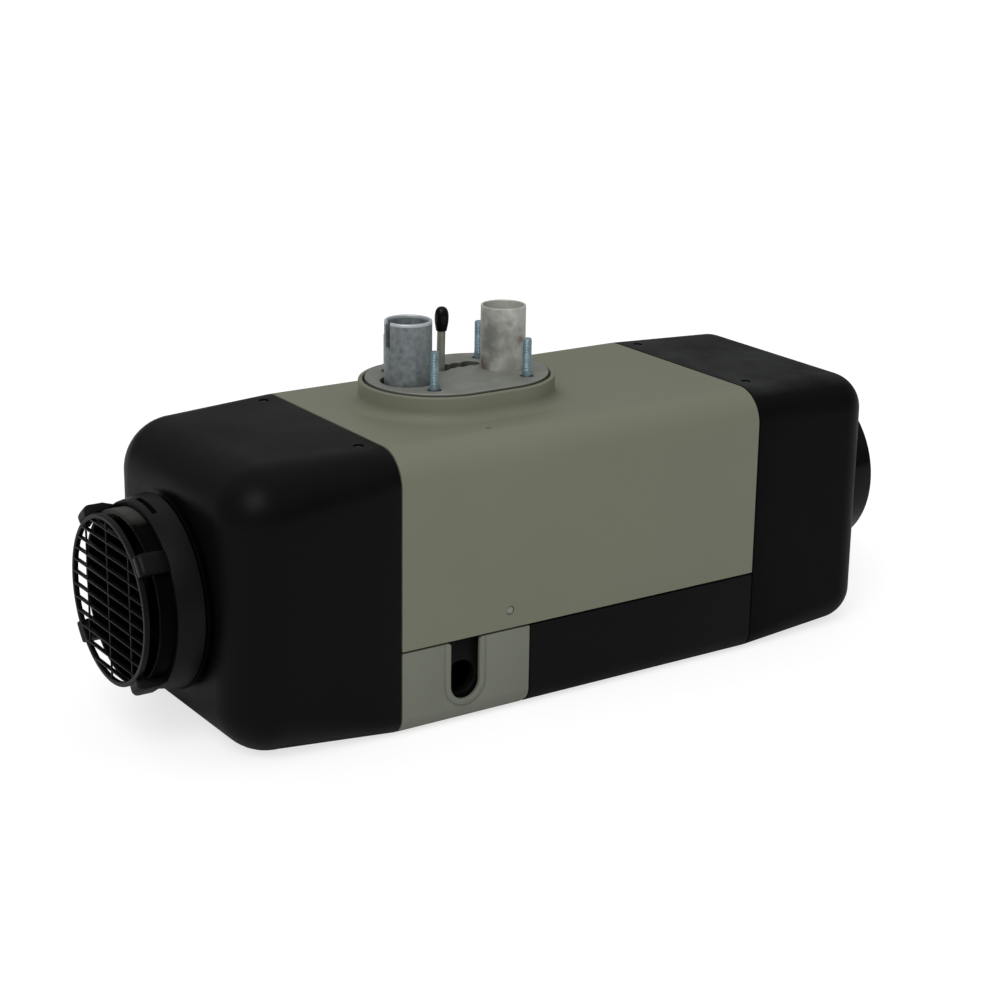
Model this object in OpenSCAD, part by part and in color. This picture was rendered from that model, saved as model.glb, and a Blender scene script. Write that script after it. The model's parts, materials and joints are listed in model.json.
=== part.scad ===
// Diesel air heater, shown on its back with the mounting collar, the two stubs
// and the four studs pointing up. X follows the warm air from the intake to
// the outlet, and the origin is under the middle of the whole heater.

/* [Body] */
// Width of the jacket and hoods
body_w = 148; // [144:1:164]
// Height of the jacket without its collar
body_h = 148; // [144:1:164]
// Length of the jacket between the two hoods
jacket_len = 226; // [224:1:260]
// Length of the intake hood
intake_hood_len = 88.5; // [84:0.5:110]
// Length of the outlet hood
outlet_hood_len = 85; // [60:1:110]
// Wall of every outer shell
shell_wall = 2.5; // [2:0.1:3]
// Corner radius along the top of the body
top_r = 18; // [14:1:22]
// Corner radius along the bottom of the body
bottom_r = 11; // [8:1:14]
// Rounding of the intake hood at its end
intake_end_r = 27.5; // [22:0.5:30]
// Rounding of the outlet hood at its end
outlet_end_r = 20; // [16:0.5:22]
// How much the intake hood narrows on each side towards its end
intake_taper = 0.6; // [0.2:0.1:4]
// How much the outlet hood narrows on each side towards its end
outlet_taper = 2; // [0.2:0.1:4]
// Open line between neighbouring shells
seam_gap = 0.7; // [0.4:0.1:1.2]
// Open line between the upper and the lower jacket
split_gap = 1.2; // [0.8:0.1:1.4]
// Height of the line between the upper and the lower jacket
split_z = 46; // [42:1:52]
// Reach of the jacket's lips into the hoods
lip_len = 14; // [12:1:16]
// Thickness of the lips
lip_wall = 2; // [1.5:0.1:2.2]

/* [Flange] */
// Distance of the air stub from the intake hood
air_from_seam = 48.8; // [46:0.1:52]
// Distance between the air stub and the exhaust stub
stub_pitch = 58.8; // [56:0.1:62]
// Height of the flange face above the jacket
flange_rise = 14; // [12:0.5:18]
// Distance between the centres of the collar's round ends
collar_c = 25.6; // [24:0.2:32]
// Outer radius of the collar's round ends
collar_r = 41; // [39:0.5:43]
// Wall of the collar
collar_wall = 2.3; // [1.8:0.1:2.6]
// Height of the flange face above the rim of the collar
rim_drop = 1; // [0:0.1:2]
// Radius of the hollow curve at the foot of the collar
collar_foot_r = 6; // [4:0.5:8]
// Gap between the flange plate and the collar
plate_gap = 1.2; // [0.8:0.1:1.8]
// Thickness of the flange plate
plate_t = 8; // [7:0.5:9]
// Spacing of the studs along the heater
stud_pitch_x = 57; // [54:0.5:60]
// Spacing of the studs across the heater
stud_pitch_y = 46; // [42:0.5:50]
// Radius of a stud
stud_r = 2.5; // [2.2:0.1:3]
// Height of the studs above the flange face
stud_h = 20; // [16:0.5:26]
// Outer radius of the combustion air stub
air_stub_r = 12.4; // [11:0.1:12.6]
// Height of the air stub above the flange face
air_stub_h = 32.2; // [26:0.1:40]
// Wall of the air stub
air_stub_wall = 1.6; // [1.2:0.1:2]
// Width of the slit in the air stub
slit_w = 4; // [2:0.5:6]
// Depth of the slit in the air stub
slit_depth = 15; // [8:1:20]
// Outer radius of the exhaust stub
exhaust_stub_r = 12; // [11:0.1:13]
// Height of the exhaust stub above the flange face
exhaust_stub_h = 33.6; // [26:0.1:40]
// Wall of the exhaust stub
exhaust_stub_wall = 1.3; // [1:0.1:1.8]

/* [Fuel line] */
// Outer radius of the fuel pipe
pipe_r = 2.2; // [1.8:0.1:2.5]
// Wall of the fuel pipe
pipe_wall = 0.9; // [0.6:0.1:1.1]
// Sideways place of the fuel pipe
pipe_y = 12; // [10:0.5:14]
// Lean of the fuel pipe from the vertical
pipe_lean = 1.2; // [0:0.1:2]
// Height of the top of the rubber cap above the flange face
cap_top_h = 33.5; // [28:0.5:40]
// Outer radius of the rubber cap
cap_r = 3.75; // [3.2:0.05:4.5]
// Length of the rubber cap
cap_len = 13; // [10:0.5:16]

/* [Intake] */
// Reach of the guard beyond the intake hood
guard_reach = 34; // [31:1:38]
// Outer radius of the guard's ring at the hood
guard_r = 49.3; // [48.5:0.1:52]
// Outer radius of the guard's ring at its front
guard_front_r = 47; // [46:0.1:48]
// Length of the guard's ring along the air flow
guard_ring_len = 13.4; // [12:0.1:17]
// Radius of the guard's grille
grille_r = 43; // [42:0.1:44]
// Width of the grille's rim
grille_rim = 2.4; // [2:0.1:4]
// Depth of the grille
grille_t = 2.6; // [2:0.1:4]
// Number of thin bars across the grille
thin_bars = 12; // [8:1:14]
// Pitch of the thin bars
thin_bar_pitch = 6.65; // [5.6:0.05:6.8]
// Width of a thin bar
thin_bar_w = 0.9; // [0.8:0.1:1.6]
// Pitch of the three upright bars
tall_bar_pitch = 24.7; // [20:0.1:28]
// Width of an upright bar
tall_bar_w = 1.2; // [1:0.1:2]
// Outer radius of the intake collar's tube
spigot_r = 44; // [43:0.1:44.6]
// Wall of the intake collar's tube
spigot_wall = 2.5; // [2:0.1:3]
// Length of the intake collar in front of the hood
spigot_len = 26; // [22:0.5:26.5]
// Angle by which the guard twists to unlock
guard_twist = 18; // [14:1:22]

/* [Outlet] */
// Distance of the outlet nozzle from the outside of the body
nozzle_in = 26.5; // [25:0.1:30]
// Wall of the outlet nozzle
nozzle_wall = 2.5; // [2:0.1:3]
// Reach of the nozzle beyond the outlet hood
nozzle_len = 25.5; // [18:0.5:40]

/* [Cable port] */
// Length of the painted cover plate over the cable port
port_cover_len = 77; // [70:1:84]
// Distance of the port's centre from the intake hood
port_x = 38; // [34:1:42]
// Width of the slot in the cover plate
port_slot_w = 17.4; // [15:0.1:19]
// Height of the slot's round lower end
port_slot_z = 12.9; // [11:0.1:14]
// Radius of the cable hole behind the slot
port_hole_r = 8.6; // [6:0.1:9]
// Height of the cable hole's centre
port_hole_z = 23.4; // [21:0.1:26]
// Depth of the recess behind the cover plate
port_depth = 5; // [4.6:0.1:6]

/* [Blower] */
// Radius of the shaft
shaft_r = 3; // [2.5:0.1:3.5]
// Radial running clearance of the shaft
shaft_play = 0.04; // [0.02:0.01:0.08]
// Outer radius of the bearings
bearing_r = 8; // [7:0.5:9]
// Width of a bearing
bearing_w = 7; // [6:0.5:7.5]
// Outer radius of the motor can
motor_r = 26; // [24:0.5:27]
// Wall of the motor can
motor_wall = 1.5; // [1.2:0.1:2]
// Length of the motor can
motor_len = 54; // [52:1:58]
// Outer radius of the rotor
rotor_r = 16; // [14:0.5:17]
// Distance of the warm air fan's tips from the outside of the body
fan_in = 17; // [16:1:24]
// Length of the warm air fan
fan_len = 30; // [26:1:32]
// Number of blades of the warm air fan
fan_blades = 9; // [5:1:11]
// Angle of the blades
fan_pitch = 38; // [25:1:45]
// Outer radius of the blower housing
housing_r = 46; // [44:0.5:48]
// Length of the blower housing
housing_len = 34; // [32:1:36]
// Outer radius of the combustion impeller
impeller_r = 38; // [32:0.5:38.5]
// Number of vanes on the combustion impeller
impeller_vanes = 24; // [12:1:30]

/* [Burner and exchanger] */
// Radius of the bolted flanges
bolt_flange_r = 56; // [54.5:0.5:58]
// Radius of the circle of long screws
bolt_circle_r = 50; // [49.5:0.1:50.5]
// Thickness of the burner head
burner_t = 8; // [8:0.5:9]
// Radius of the burner tube
burner_tube_r = 29.5; // [28:0.5:30]
// Length of the burner tube
burner_tube_len = 46; // [36:1:60]
// Outer radius of the flame tube
flame_tube_r = 36; // [35:0.5:38]
// Length of the flame tube
flame_tube_len = 108; // [90:1:112]
// Outer radius of the exchanger's body
exchanger_r = 48; // [46.5:0.5:49]
// Wall of the exchanger's body
exchanger_wall = 4; // [3:0.5:5]
// Length of the exchanger
exchanger_len = 135; // [130:1:140]
// Air space between the tips of the fins and the shells
fin_air = 7.5; // [6.5:0.5:11]
// Thickness of a fin
fin_t = 2; // [1.5:0.1:3]
// Number of fins round the exchanger
fin_count = 28; // [20:1:32]

/* [Hidden] */
$fn = 64;

// Overrun of cuts, gap of pieces that are set in place, and finish of hulls
cut = 1;
fit = 0.3;
snug = 0.1;
slab = 0.5;
hull_fn = 32;

// Places along the heater
total_len = guard_reach + intake_hood_len + jacket_len + outlet_hood_len + nozzle_len;
front_x = -total_len / 2;
hood_x = front_x + guard_reach;
seam_x = hood_x + intake_hood_len;
seam2_x = seam_x + jacket_len;
end_x = seam2_x + outlet_hood_len;
axis_z = body_h / 2;
half_w = body_w / 2;
nozzle_r = min(axis_z, half_w) - nozzle_in;
fan_r = min(axis_z, half_w) - fan_in;

// Flange zone
flange_z = body_h + flange_rise;
rim_z = flange_z - rim_drop;
gasket_t = 1;
plate_z = flange_z - plate_t;
neck_z = plate_z - gasket_t;
air_x = seam_x + air_from_seam;
exhaust_x = air_x + stub_pitch;
collar_shift = 0.7;
stud_shift = 0.7;
flange_x = (air_x + exhaust_x) / 2 + collar_shift;
plate_r = collar_r - collar_wall - plate_gap;
collar_root = 1;
stud_x = (air_x + exhaust_x) / 2 + stud_shift;
stud_seat = 1.2;
stud_neck_step = 0.3;
stud_neck_r = stud_r - stud_neck_step;
stud_well_rim = 1.1;
stud_well_r = stud_r + stud_well_rim;
stud_well = 1.6;
air_hole_gap = 2.1;
stub_seat_depth = 10;
stub_socket_depth = 5;
stub_ledge = 1.4;
root_rise = 1.5;
stub_root_step = 0.4;
pipe_root_step = 0.35;
pipe_waist_len = 0.6;
pipe_waist_gap = 0.2;
nozzle_root_step = 0.9;
air_neck_wall = 2.6;
air_neck_r = air_stub_r + air_neck_wall;
pocket_depth = 5;
pocket_r = 5;
pocket_y = 14.5;
pocket_step = 7;
pocket_from_pipe = 6.5;
pipe_hole_rim = 1.1;
pipe_hole_r = cap_r + pipe_hole_rim;

// Blower, motor and fan along the shaft
air_neck_share = 0.55;
housing_x = air_x - air_neck_share * housing_len;
housing_wall = 6;
front_wall = 10;
cavity_x = housing_x + front_wall;
cover_x = housing_x + housing_len;
cover_t = 6;
cover_hole_r = 14;
burner_gasket_t = 2;
head_x = cover_x + cover_t + burner_gasket_t;
exchanger_gasket_t = 1;
exchanger_x = head_x + burner_t + exchanger_gasket_t;
exchanger_end_x = exchanger_x + exchanger_len;
fin_tip_r = min(axis_z, half_w) - shell_wall - fin_air;
pipe_x = head_x + burner_t / 2;
motor_x = housing_x - motor_len;
can_front = 4;
can_flange_t = 3;
can_boss_wall = 3;
can_boss_r = bearing_r + can_boss_wall;
bearing_ledge = 1;
screw_r = 2;
screw_head_r = 3.5;
screw_head = 3;
motor_screw_len = 8;
motor_screw_circle = motor_r + screw_head_r + snug;
can_flange_r = motor_screw_circle + screw_head_r;
stator_gap = 12;
stator_wall = 7.4;
rotor_air = 1;
fan_gap = 10;
fan_x = motor_x - fan_gap - fan_len;
fan_hub_r = 26;
fan_hub_wall = 2.5;
fan_bore_len = 14;
fan_boss_r = 7;
blade_t = 2;
blade_in = 0.8;
shaft_clip_t = 1.2;
shaft_clip_rim = 2.5;
shaft_clip_r = shaft_r + shaft_clip_rim;
impeller_front = 8;
impeller_x = cavity_x + impeller_front;
impeller_t = 10;
impeller_disc = 3;
impeller_hub_r = 8;
vane_t = 1.6;
vane_h = 14;
shaft_front_x = fan_x - 4 * shaft_clip_t;
shaft_rear_x = impeller_x + impeller_t + 3 * shaft_clip_t;
guide_gap = 2.5;
guide_wall = 2.5;
guide_r = fan_r + guide_gap;
guide_hub_wall = 2.3;
guide_vanes = 7;
guide_vane_len = 12;
guide_vane_pitch = 18;
guide_lead = 2;
guide_x = fan_x - guide_lead;
guide_tail = 4;
guide_end_x = motor_x + can_front + guide_vane_len + guide_tail;
hub_band_len = 14;

// Intake collar and guard
collar_flange_rim = 0.7;
collar_flange_r = guard_r + collar_flange_rim;
collar_flange_t = 1.5;
collar_neck_step = 1.8;
collar_neck_r = guard_r - collar_neck_step;
collar_neck_len = 3.2;
collar_flange_x = hood_x - collar_neck_len;
guard_gap = 0.5;
guard_x = collar_flange_x - collar_flange_t - guard_gap;
guard_front_x = guard_x - guard_ring_len;
lug_h = 2;
lug_t = 2;
lug_span = 5;
lug_front = 14;
lug_x = hood_x - lug_front;
slot_from = -6;
half_turn = 180;
ring_seam = 100;
post_span = 13;
post_clock = 52;
post_count = 4;
post_depth = 1;
post_block = 10.5;
post_rise = 1.8;
post_r = guard_front_r + post_rise;
shelf_in = 2.6;
shelf_t = 2;
post_round = 3;
post_round_steps = 6;
grille_back_x = front_x + grille_t;
bar_t = 1.4;

// Shell details
lip_gap = 0.4;
lip_inset = shell_wall + lip_gap + max(hood_drop(lip_len, intake_hood_len, intake_taper, intake_end_r),
    hood_drop(lip_len, outlet_hood_len, outlet_taper, outlet_end_r));
lip_top_r = top_r - shell_wall + max(
    hood_round(lip_len, intake_hood_len, intake_end_r, top_r),
    hood_round(lip_len, outlet_hood_len, outlet_end_r, top_r));
lip_bottom_r = bottom_r - shell_wall + max(
    hood_round(lip_len, intake_hood_len, intake_end_r, bottom_r),
    hood_round(lip_len, outlet_hood_len, outlet_end_r, bottom_r));
lip_root = 8;
split_lip = 6;
hood_screw_x = 9.5;
hood_screw_y = 49;
hood_screw_r = 1.4;
hood_screw_head_r = 1.8;
hood_screw_head = 0.8;
screw_recess = 1.4;
screw_recess_r = 2.7;
plug_from_seam = 64.8;
plug_x = seam_x + plug_from_seam;
plug_above_split = 9.5;
plug_r = 2.05;
plug_gap = 0.35;
plug_recess = 0.4;
plug_flange = 0.8;
plug_depth = 6;
dimple_from_seam = 62;
dimple_x = seam_x + dimple_from_seam;
dimple_y = 55.7;
dimple_r = 1.5;
dimple_depth = 0.6;

// Cable port
cover_x1 = seam_x + port_cover_len;
cover_corner_r = 6;
cover_y = bottom_r - half_w;
groove_in = 3;
groove_w = 0.8;
groove_depth = 0.5;
slot_flare = 1.6;
grommet_t = 3;
grommet_w = 30;
grommet_h = 36;
port_wall_y = port_depth - half_w;
port_ledge = 5;
port_wall_z = port_depth + snug;
window_in = 2;
port_top_gap = 0.8;
port_seat_z = port_wall_z + shell_wall;
window_z = port_seat_z + window_in;
cover_pad = 6;
cover_pad_in = 7;
cover_pad_shares = [0.3, 0.8];

// Long screws, pads and sensors
bolt_r = 2.5;
bolt_head_r = 4.5;
bolt_head = 5;
boss_r = 6;
boss_len = 20;
spot_face = 0.5;
screw_seat_x = cover_x - boss_len + spot_face;
bolt_reach = 10;
exchanger_flange_t = 12;
exchanger_cap = 5;
exchanger_edge = 8;
exhaust_neck_r = 19;
exhaust_bore_r = exhaust_stub_r - stub_ledge;
foot_w = 8;
foot_span = 44;
foot_in = 26;
foot_from_seam = 35.9;
foot_places = [exchanger_x + foot_in, seam2_x - foot_from_seam];
pad_t = 8;
pad_len = 16;
pad_w = 12;
sensor_share = 0.52;
sensor_x = exchanger_x + sensor_share * exchanger_len;
sensor_pad_h = 4;
sensor_pad_w = 22;
sensor_r = 5;
sensor_h = 6;
clip_t = 0.8;
clip_w = 8;
clip_leg = 3.4;
tube_wall = 1.5;
burner_holes = 10;
burner_hole_r = 1.5;
spigot_ring_len = 8;
evaporator_r = 20;
evaporator_t = 3;
glow_angle = 60;
glow_r = 3;
glow_hex_r = 5;
glow_hex_len = 6;
glow_pocket_r = 3.5;
glow_pocket_at = 24;
swirl_hole_r = 1.8;
fuel_bore_r = 1.1;

// Control unit in the bottom of the jacket
unit_x = seam_x + lip_root + fit;
unit_len = 46;
unit_w = 76;
unit_share = 0.785;
unit_h = unit_share * (axis_z - housing_r - shell_wall);
unit_wall = 2;
board_t = 1.6;
board_share = 0.4;
board_z = board_share * unit_h;
lid_t = 3;
socket_w = 18;
socket_depth = 12;
socket_share = 0.6;
socket_h = socket_share * unit_h;
lead_r = 1.8;
thin_lead_r = 1.3;
lead_sides = 8;
glow_lead_steps = 42;
sensor_lead_steps = 60;
lead_across = [1, 0.2, 0.1];
motor_lead_share = 0.75;
unit_lead_shares = [0.85, 0.35];
board_post_shares = [0.2, 0.8];
chip_rows = 4;
chip_pitch_share = 0.2;
board_side_shares = [-0.4, 0.4];
chip_shares = [0.3, 0.12];

// How far a hood has narrowed at a depth from its seam
function hood_drop(depth, hood_len, taper, end_r) = taper * depth / (hood_len - end_r);
function hood_round(depth, hood_len, end_r, corner_r) =
    max(0, end_r - corner_r) * depth / (hood_len - end_r);

// Outline of the body across its length, moved in by inset
module body_outline(inset, rt = top_r, rb = bottom_r) {
    rounded_outline(inset, rt - inset, rb - inset);
}

module rounded_outline(inset, rt, rb) {
    w = half_w - inset;
    low = inset + rb;
    high = body_h - inset - rt;
    translate([-w, low]) square([2 * w, high - low]);
    translate([rt - w, low]) square([2 * (w - rt), high - low + rt]);
    translate([rb - w, inset]) square([2 * (w - rb), high - low + rb]);
    for (side = [-1, 1]) {
        translate([side * (w - rt), high]) circle(rt);
        translate([side * (w - rb), low]) circle(rb);
    }
}

module along_x(x0, len) {
    translate([x0, 0, 0]) rotate([90, 0, 90]) linear_extrude(len) children();
}

// Round solids about the shaft line; a profile has the radius first, then x
module shaft_turn(from = 0, span = 360) {
    translate([0, 0, axis_z]) rotate([0, 90, 0]) rotate([0, 0, 180 + from])
        rotate_extrude(angle = span) children();
}

module core_disc(x0, len, r) {
    translate([x0, 0, axis_z]) rotate([0, 90, 0]) cylinder(h = len, r = r);
}

module core_ring(x0, len, r_out, r_in) {
    difference() {
        core_disc(x0, len, r_out);
        core_disc(x0 - cut, len + 2 * cut, r_in);
    }
}

// Turns its children about the shaft line; their own Z then points outwards
module around(angle) {
    translate([0, 0, axis_z]) rotate([angle, 0, 0]) children();
}

module bolt_holes(x0, len, r) {
    for (k = [0:3])
        around(45 + 90 * k) translate([x0, 0, bolt_circle_r]) rotate([0, 90, 0])
            cylinder(h = len, r = r);
}

module stadium(r) {
    for (side = [-1, 1]) translate([flange_x + side * collar_c / 2, 0]) circle(r);
    translate([flange_x - collar_c / 2, -r]) square([collar_c, 2 * r]);
}

module at_stub(x) {
    translate([x, 0, 0]) children();
}

module on_pipe() {
    translate([pipe_x, pipe_y, flange_z]) rotate([0, pipe_lean, 0]) children();
}

module at_studs() {
    for (sx = [-1, 1], sy = [-1, 1])
        translate([stud_x + sx * stud_pitch_x / 2, sy * stud_pitch_y / 2, 0]) children();
}

// Hoods
module hull_ball(r) {
    rotate_extrude($fn = hull_fn) intersection() {
        circle(r, $fn = hull_fn);
        translate([0, -r]) square([r, 2 * r]);
    }
}

module hood_blank(from_x, to_x, taper, end_r, inset) {
    toward = to_x > from_x ? 1 : -1;
    seam_from = inset > 0 ? from_x - toward * cut : from_x;
    hull() {
        along_x(min(seam_from, from_x + toward * slab), slab + abs(seam_from - from_x))
            body_outline(inset);
        for (side = [-1, 1], z = [end_r, body_h - taper - end_r])
            translate([to_x - toward * end_r, side * (half_w - taper - end_r), z])
                hull_ball(end_r - inset);
    }
}

module at_hood_screws(x) {
    for (side = [-1, 1]) translate([x, side * hood_screw_y, 0]) children();
}

module hood(from_x, to_x, taper, end_r, opening_r, screw_x, screw_top) {
    difference() {
        hood_blank(from_x, to_x, taper, end_r, 0);
        hood_blank(from_x, to_x, taper, end_r, shell_wall);
        core_disc(to_x - end_r, 2 * end_r, opening_r);
        at_hood_screws(screw_x) {
            translate([0, 0, screw_top - screw_recess])
                cylinder(h = screw_recess + cut, r = screw_recess_r);
            translate([0, 0, screw_top - 2 * shell_wall])
                cylinder(h = 2 * shell_wall, r = hood_screw_r + snug);
        }
    }
}

screw_top_in = body_h - hood_drop(hood_screw_x, intake_hood_len, intake_taper, intake_end_r);
screw_top_out = body_h - hood_drop(hood_screw_x, outlet_hood_len, outlet_taper, outlet_end_r);

module intake_hood() {
    color("#26282a")
        hood(seam_x, hood_x, intake_taper, intake_end_r, spigot_r + fit,
            seam_x - hood_screw_x, screw_top_in);
}

module outlet_hood() {
    color("#26282a")
        hood(seam2_x, end_x, outlet_taper, outlet_end_r, nozzle_r + fit,
            seam2_x + hood_screw_x, screw_top_out);
}

module hood_screw(x, top) {
    seat = top - screw_recess;
    at_hood_screws(x) {
        translate([0, 0, seat]) cylinder(h = hood_screw_head, r = hood_screw_head_r);
        translate([0, 0, seat - shell_wall - lip_wall])
            cylinder(h = shell_wall + lip_wall, r = hood_screw_r);
    }
}

module hood_screws() {
    color("#8f9496") {
        hood_screw(seam_x - hood_screw_x, screw_top_in);
        hood_screw(seam2_x + hood_screw_x, screw_top_out);
    }
}

// Intake collar, with two lugs that hold the guard
module intake_collar() {
    color("#1d1f20") {
        shaft_turn() polygon([
            [spigot_r - spigot_wall, hood_x - spigot_len],
            [spigot_r, hood_x - spigot_len],
            [spigot_r, collar_flange_x - collar_flange_t],
            [collar_flange_r, collar_flange_x - collar_flange_t],
            [collar_flange_r, collar_flange_x],
            [collar_neck_r, collar_flange_x],
            [collar_neck_r, hood_x],
            [spigot_r, hood_x],
            [spigot_r, hood_x + 2 * shell_wall],
            [spigot_r - spigot_wall, hood_x + 2 * shell_wall]]);
        for (half = [0, half_turn])
            shaft_turn(slot_from + half + fit, lug_span)
                translate([spigot_r - spigot_wall / 2, lug_x - lug_t / 2])
                    square([lug_h + spigot_wall / 2, lug_t]);
    }
}

// Guard
guard_in_r = spigot_r + fit;
entry_r = spigot_r + lug_h + fit;

module guard_ring() {
    slot_w = lug_t + 2 * fit;
    color("#1d1f20") {
        difference() {
            shaft_turn(ring_seam) polygon([
                [guard_in_r, guard_front_x], [guard_front_r, guard_front_x],
                [guard_r, guard_x], [guard_in_r, guard_x]]);
            for (half = [0, half_turn]) {
                shaft_turn(slot_from + half - fit, lug_span + guard_twist + 2 * fit)
                    translate([guard_in_r - cut, lug_x - slot_w / 2])
                        square([guard_r, slot_w]);
                shaft_turn(slot_from + half + guard_twist - 2 * fit, lug_span + 2 * fit)
                    translate([guard_in_r - cut, lug_x])
                        square([entry_r - guard_in_r + cut, hood_x - lug_x]);
            }
        }
        for (k = [0:post_count - 1])
            shaft_turn(post_clock + k * 360 / post_count - post_span / 2, post_span)
                polygon(concat([
                    [guard_in_r + snug, guard_front_x + post_depth],
                    [guard_front_r - snug, guard_front_x + post_depth],
                    [post_r, front_x + post_block]],
                    [for (i = [0:post_round_steps]) let (q = 90 * i / post_round_steps)
                        [post_r - post_round * (1 - cos(q)), front_x + post_round * (1 - sin(q))]], [
                    [grille_r + snug, front_x],
                    [grille_r + snug, grille_back_x],
                    [grille_r - shelf_in, grille_back_x],
                    [grille_r - shelf_in, grille_back_x + shelf_t],
                    [guard_in_r + snug, grille_back_x + 2 * shelf_t]]));
    }
}

module guard_grille() {
    color("#26282a") {
        shaft_turn() translate([grille_r - grille_rim, front_x]) square([grille_rim, grille_t]);
        intersection() {
            core_disc(front_x, bar_t, grille_r - grille_rim / 2);
            union() {
                for (k = [0:thin_bars - 1])
                    translate([front_x, -grille_r,
                        axis_z + (k - (thin_bars - 1) / 2) * thin_bar_pitch - thin_bar_w / 2])
                        cube([bar_t, 2 * grille_r, thin_bar_w]);
                for (k = [-1:1])
                    translate([front_x, k * tall_bar_pitch - tall_bar_w / 2, axis_z - grille_r])
                        cube([bar_t, tall_bar_w, 2 * grille_r]);
            }
        }
    }
}

// Warm air fan and its guide
module fan_blade() {
    intersection() {
        core_ring(fan_x + blade_in, fan_len - 2 * blade_in, fan_r, fan_hub_r - fan_hub_wall / 2);
        translate([fan_x + fan_len / 2, 0, axis_z]) rotate([0, 0, fan_pitch])
            translate([-fan_len, -blade_t / 2, 0]) cube([2 * fan_len, blade_t, fan_r + cut]);
    }
}

module fan_wheel() {
    color("#2c2e30") difference() {
        union() {
            shaft_turn() polygon([
                [0, fan_x], [fan_hub_r - 2 * fan_hub_wall, fan_x],
                [fan_hub_r, fan_x + 2 * fan_hub_wall], [fan_hub_r, fan_x + fan_len],
                [fan_hub_r - fan_hub_wall, fan_x + fan_len],
                [fan_hub_r - fan_hub_wall, fan_x + 3 * fan_hub_wall],
                [fan_boss_r, fan_x + fan_hub_wall],
                [fan_boss_r, fan_x + fan_bore_len], [0, fan_x + fan_bore_len]]);
            for (k = [0:fan_blades - 1])
                translate([0, 0, axis_z]) rotate([k * 360 / fan_blades, 0, 0])
                    translate([0, 0, -axis_z]) fan_blade();
        }
        core_disc(fan_x - cut, fan_len + 2 * cut, shaft_r);
    }
}

module air_guide() {
    hub_r = motor_r + fit;
    vane_x = guide_end_x - guide_vane_len - fit;
    color("#232526") {
        core_ring(guide_x, guide_end_x - guide_x, guide_r + guide_wall, guide_r);
        core_ring(vane_x, hub_band_len, hub_r + guide_hub_wall, hub_r);
        for (k = [0:guide_vanes - 1])
            around(k * 360 / guide_vanes)
                translate([vane_x + guide_vane_len / 2, 0, hub_r + guide_hub_wall / 2])
                    rotate([0, 0, -guide_vane_pitch])
                        translate([-guide_vane_len / 2, -blade_t / 2, 0])
                            cube([guide_vane_len, blade_t,
                                guide_r - hub_r - guide_hub_wall / 2 + guide_wall / 2]);
    }
}

// Shaft line
module motor_shaft() {
    color("#b4b8ba") core_disc(shaft_front_x, shaft_rear_x - shaft_front_x, shaft_r);
}

module shaft_clips() {
    color("#55585a") {
        core_ring(fan_x - shaft_clip_t, shaft_clip_t, shaft_clip_r, shaft_r);
        core_ring(impeller_x + impeller_t, shaft_clip_t, shaft_clip_r, shaft_r);
    }
}

module motor_can() {
    seat_x = motor_x + bearing_w;
    color("#9a9d9e") difference() {
        shaft_turn() polygon([
            [0, motor_x], [motor_r, motor_x], [motor_r, housing_x - can_flange_t],
            [can_flange_r, housing_x - can_flange_t], [can_flange_r, housing_x],
            [motor_r - motor_wall, housing_x], [motor_r - motor_wall, motor_x + can_front],
            [can_boss_r, motor_x + can_front], [can_boss_r, seat_x + bearing_ledge],
            [0, seat_x + bearing_ledge]]);
        core_disc(motor_x - cut, bearing_w + cut, bearing_r);
        core_disc(motor_x, bearing_w + 2 * bearing_ledge, bearing_r - 2 * bearing_ledge);
        for (k = [0:2])
            around(30 + 120 * k) translate([housing_x - can_flange_t - cut, 0, motor_screw_circle])
                rotate([0, 90, 0]) cylinder(h = can_flange_t + 2 * cut, r = screw_r + snug);
    }
}

module motor_screws() {
    color("#7d8183")
        for (k = [0:2])
            around(30 + 120 * k) {
                translate([housing_x - can_flange_t - screw_head, 0, motor_screw_circle])
                    rotate([0, 90, 0]) cylinder(h = screw_head, r = screw_head_r);
                translate([housing_x - can_flange_t, 0, motor_screw_circle])
                    rotate([0, 90, 0]) cylinder(h = motor_screw_len, r = screw_r);
            }
}

module bearing(x) {
    color("#c3c6c8") core_ring(x, bearing_w, bearing_r - snug / 2, shaft_r + shaft_play);
}

module front_bearing() {
    bearing(motor_x);
}

module rear_bearing() {
    bearing(housing_x);
}

module motor_stator() {
    out_r = motor_r - motor_wall - snug;
    color("#7a4a30") difference() {
        core_ring(motor_x + stator_gap, motor_len - 2 * stator_gap + can_front, out_r,
            rotor_r + rotor_air);
        for (k = [0:11])
            around(30 * k) translate([motor_x + stator_gap - cut, -blade_t / 2, rotor_r])
                cube([motor_len, blade_t, out_r - rotor_r - blade_t]);
    }
}

module motor_rotor() {
    color("#3c3e40") core_ring(motor_x + stator_gap + rotor_air,
        motor_len - 2 * stator_gap + 2 * rotor_air, rotor_r, shaft_r);
}

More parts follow.
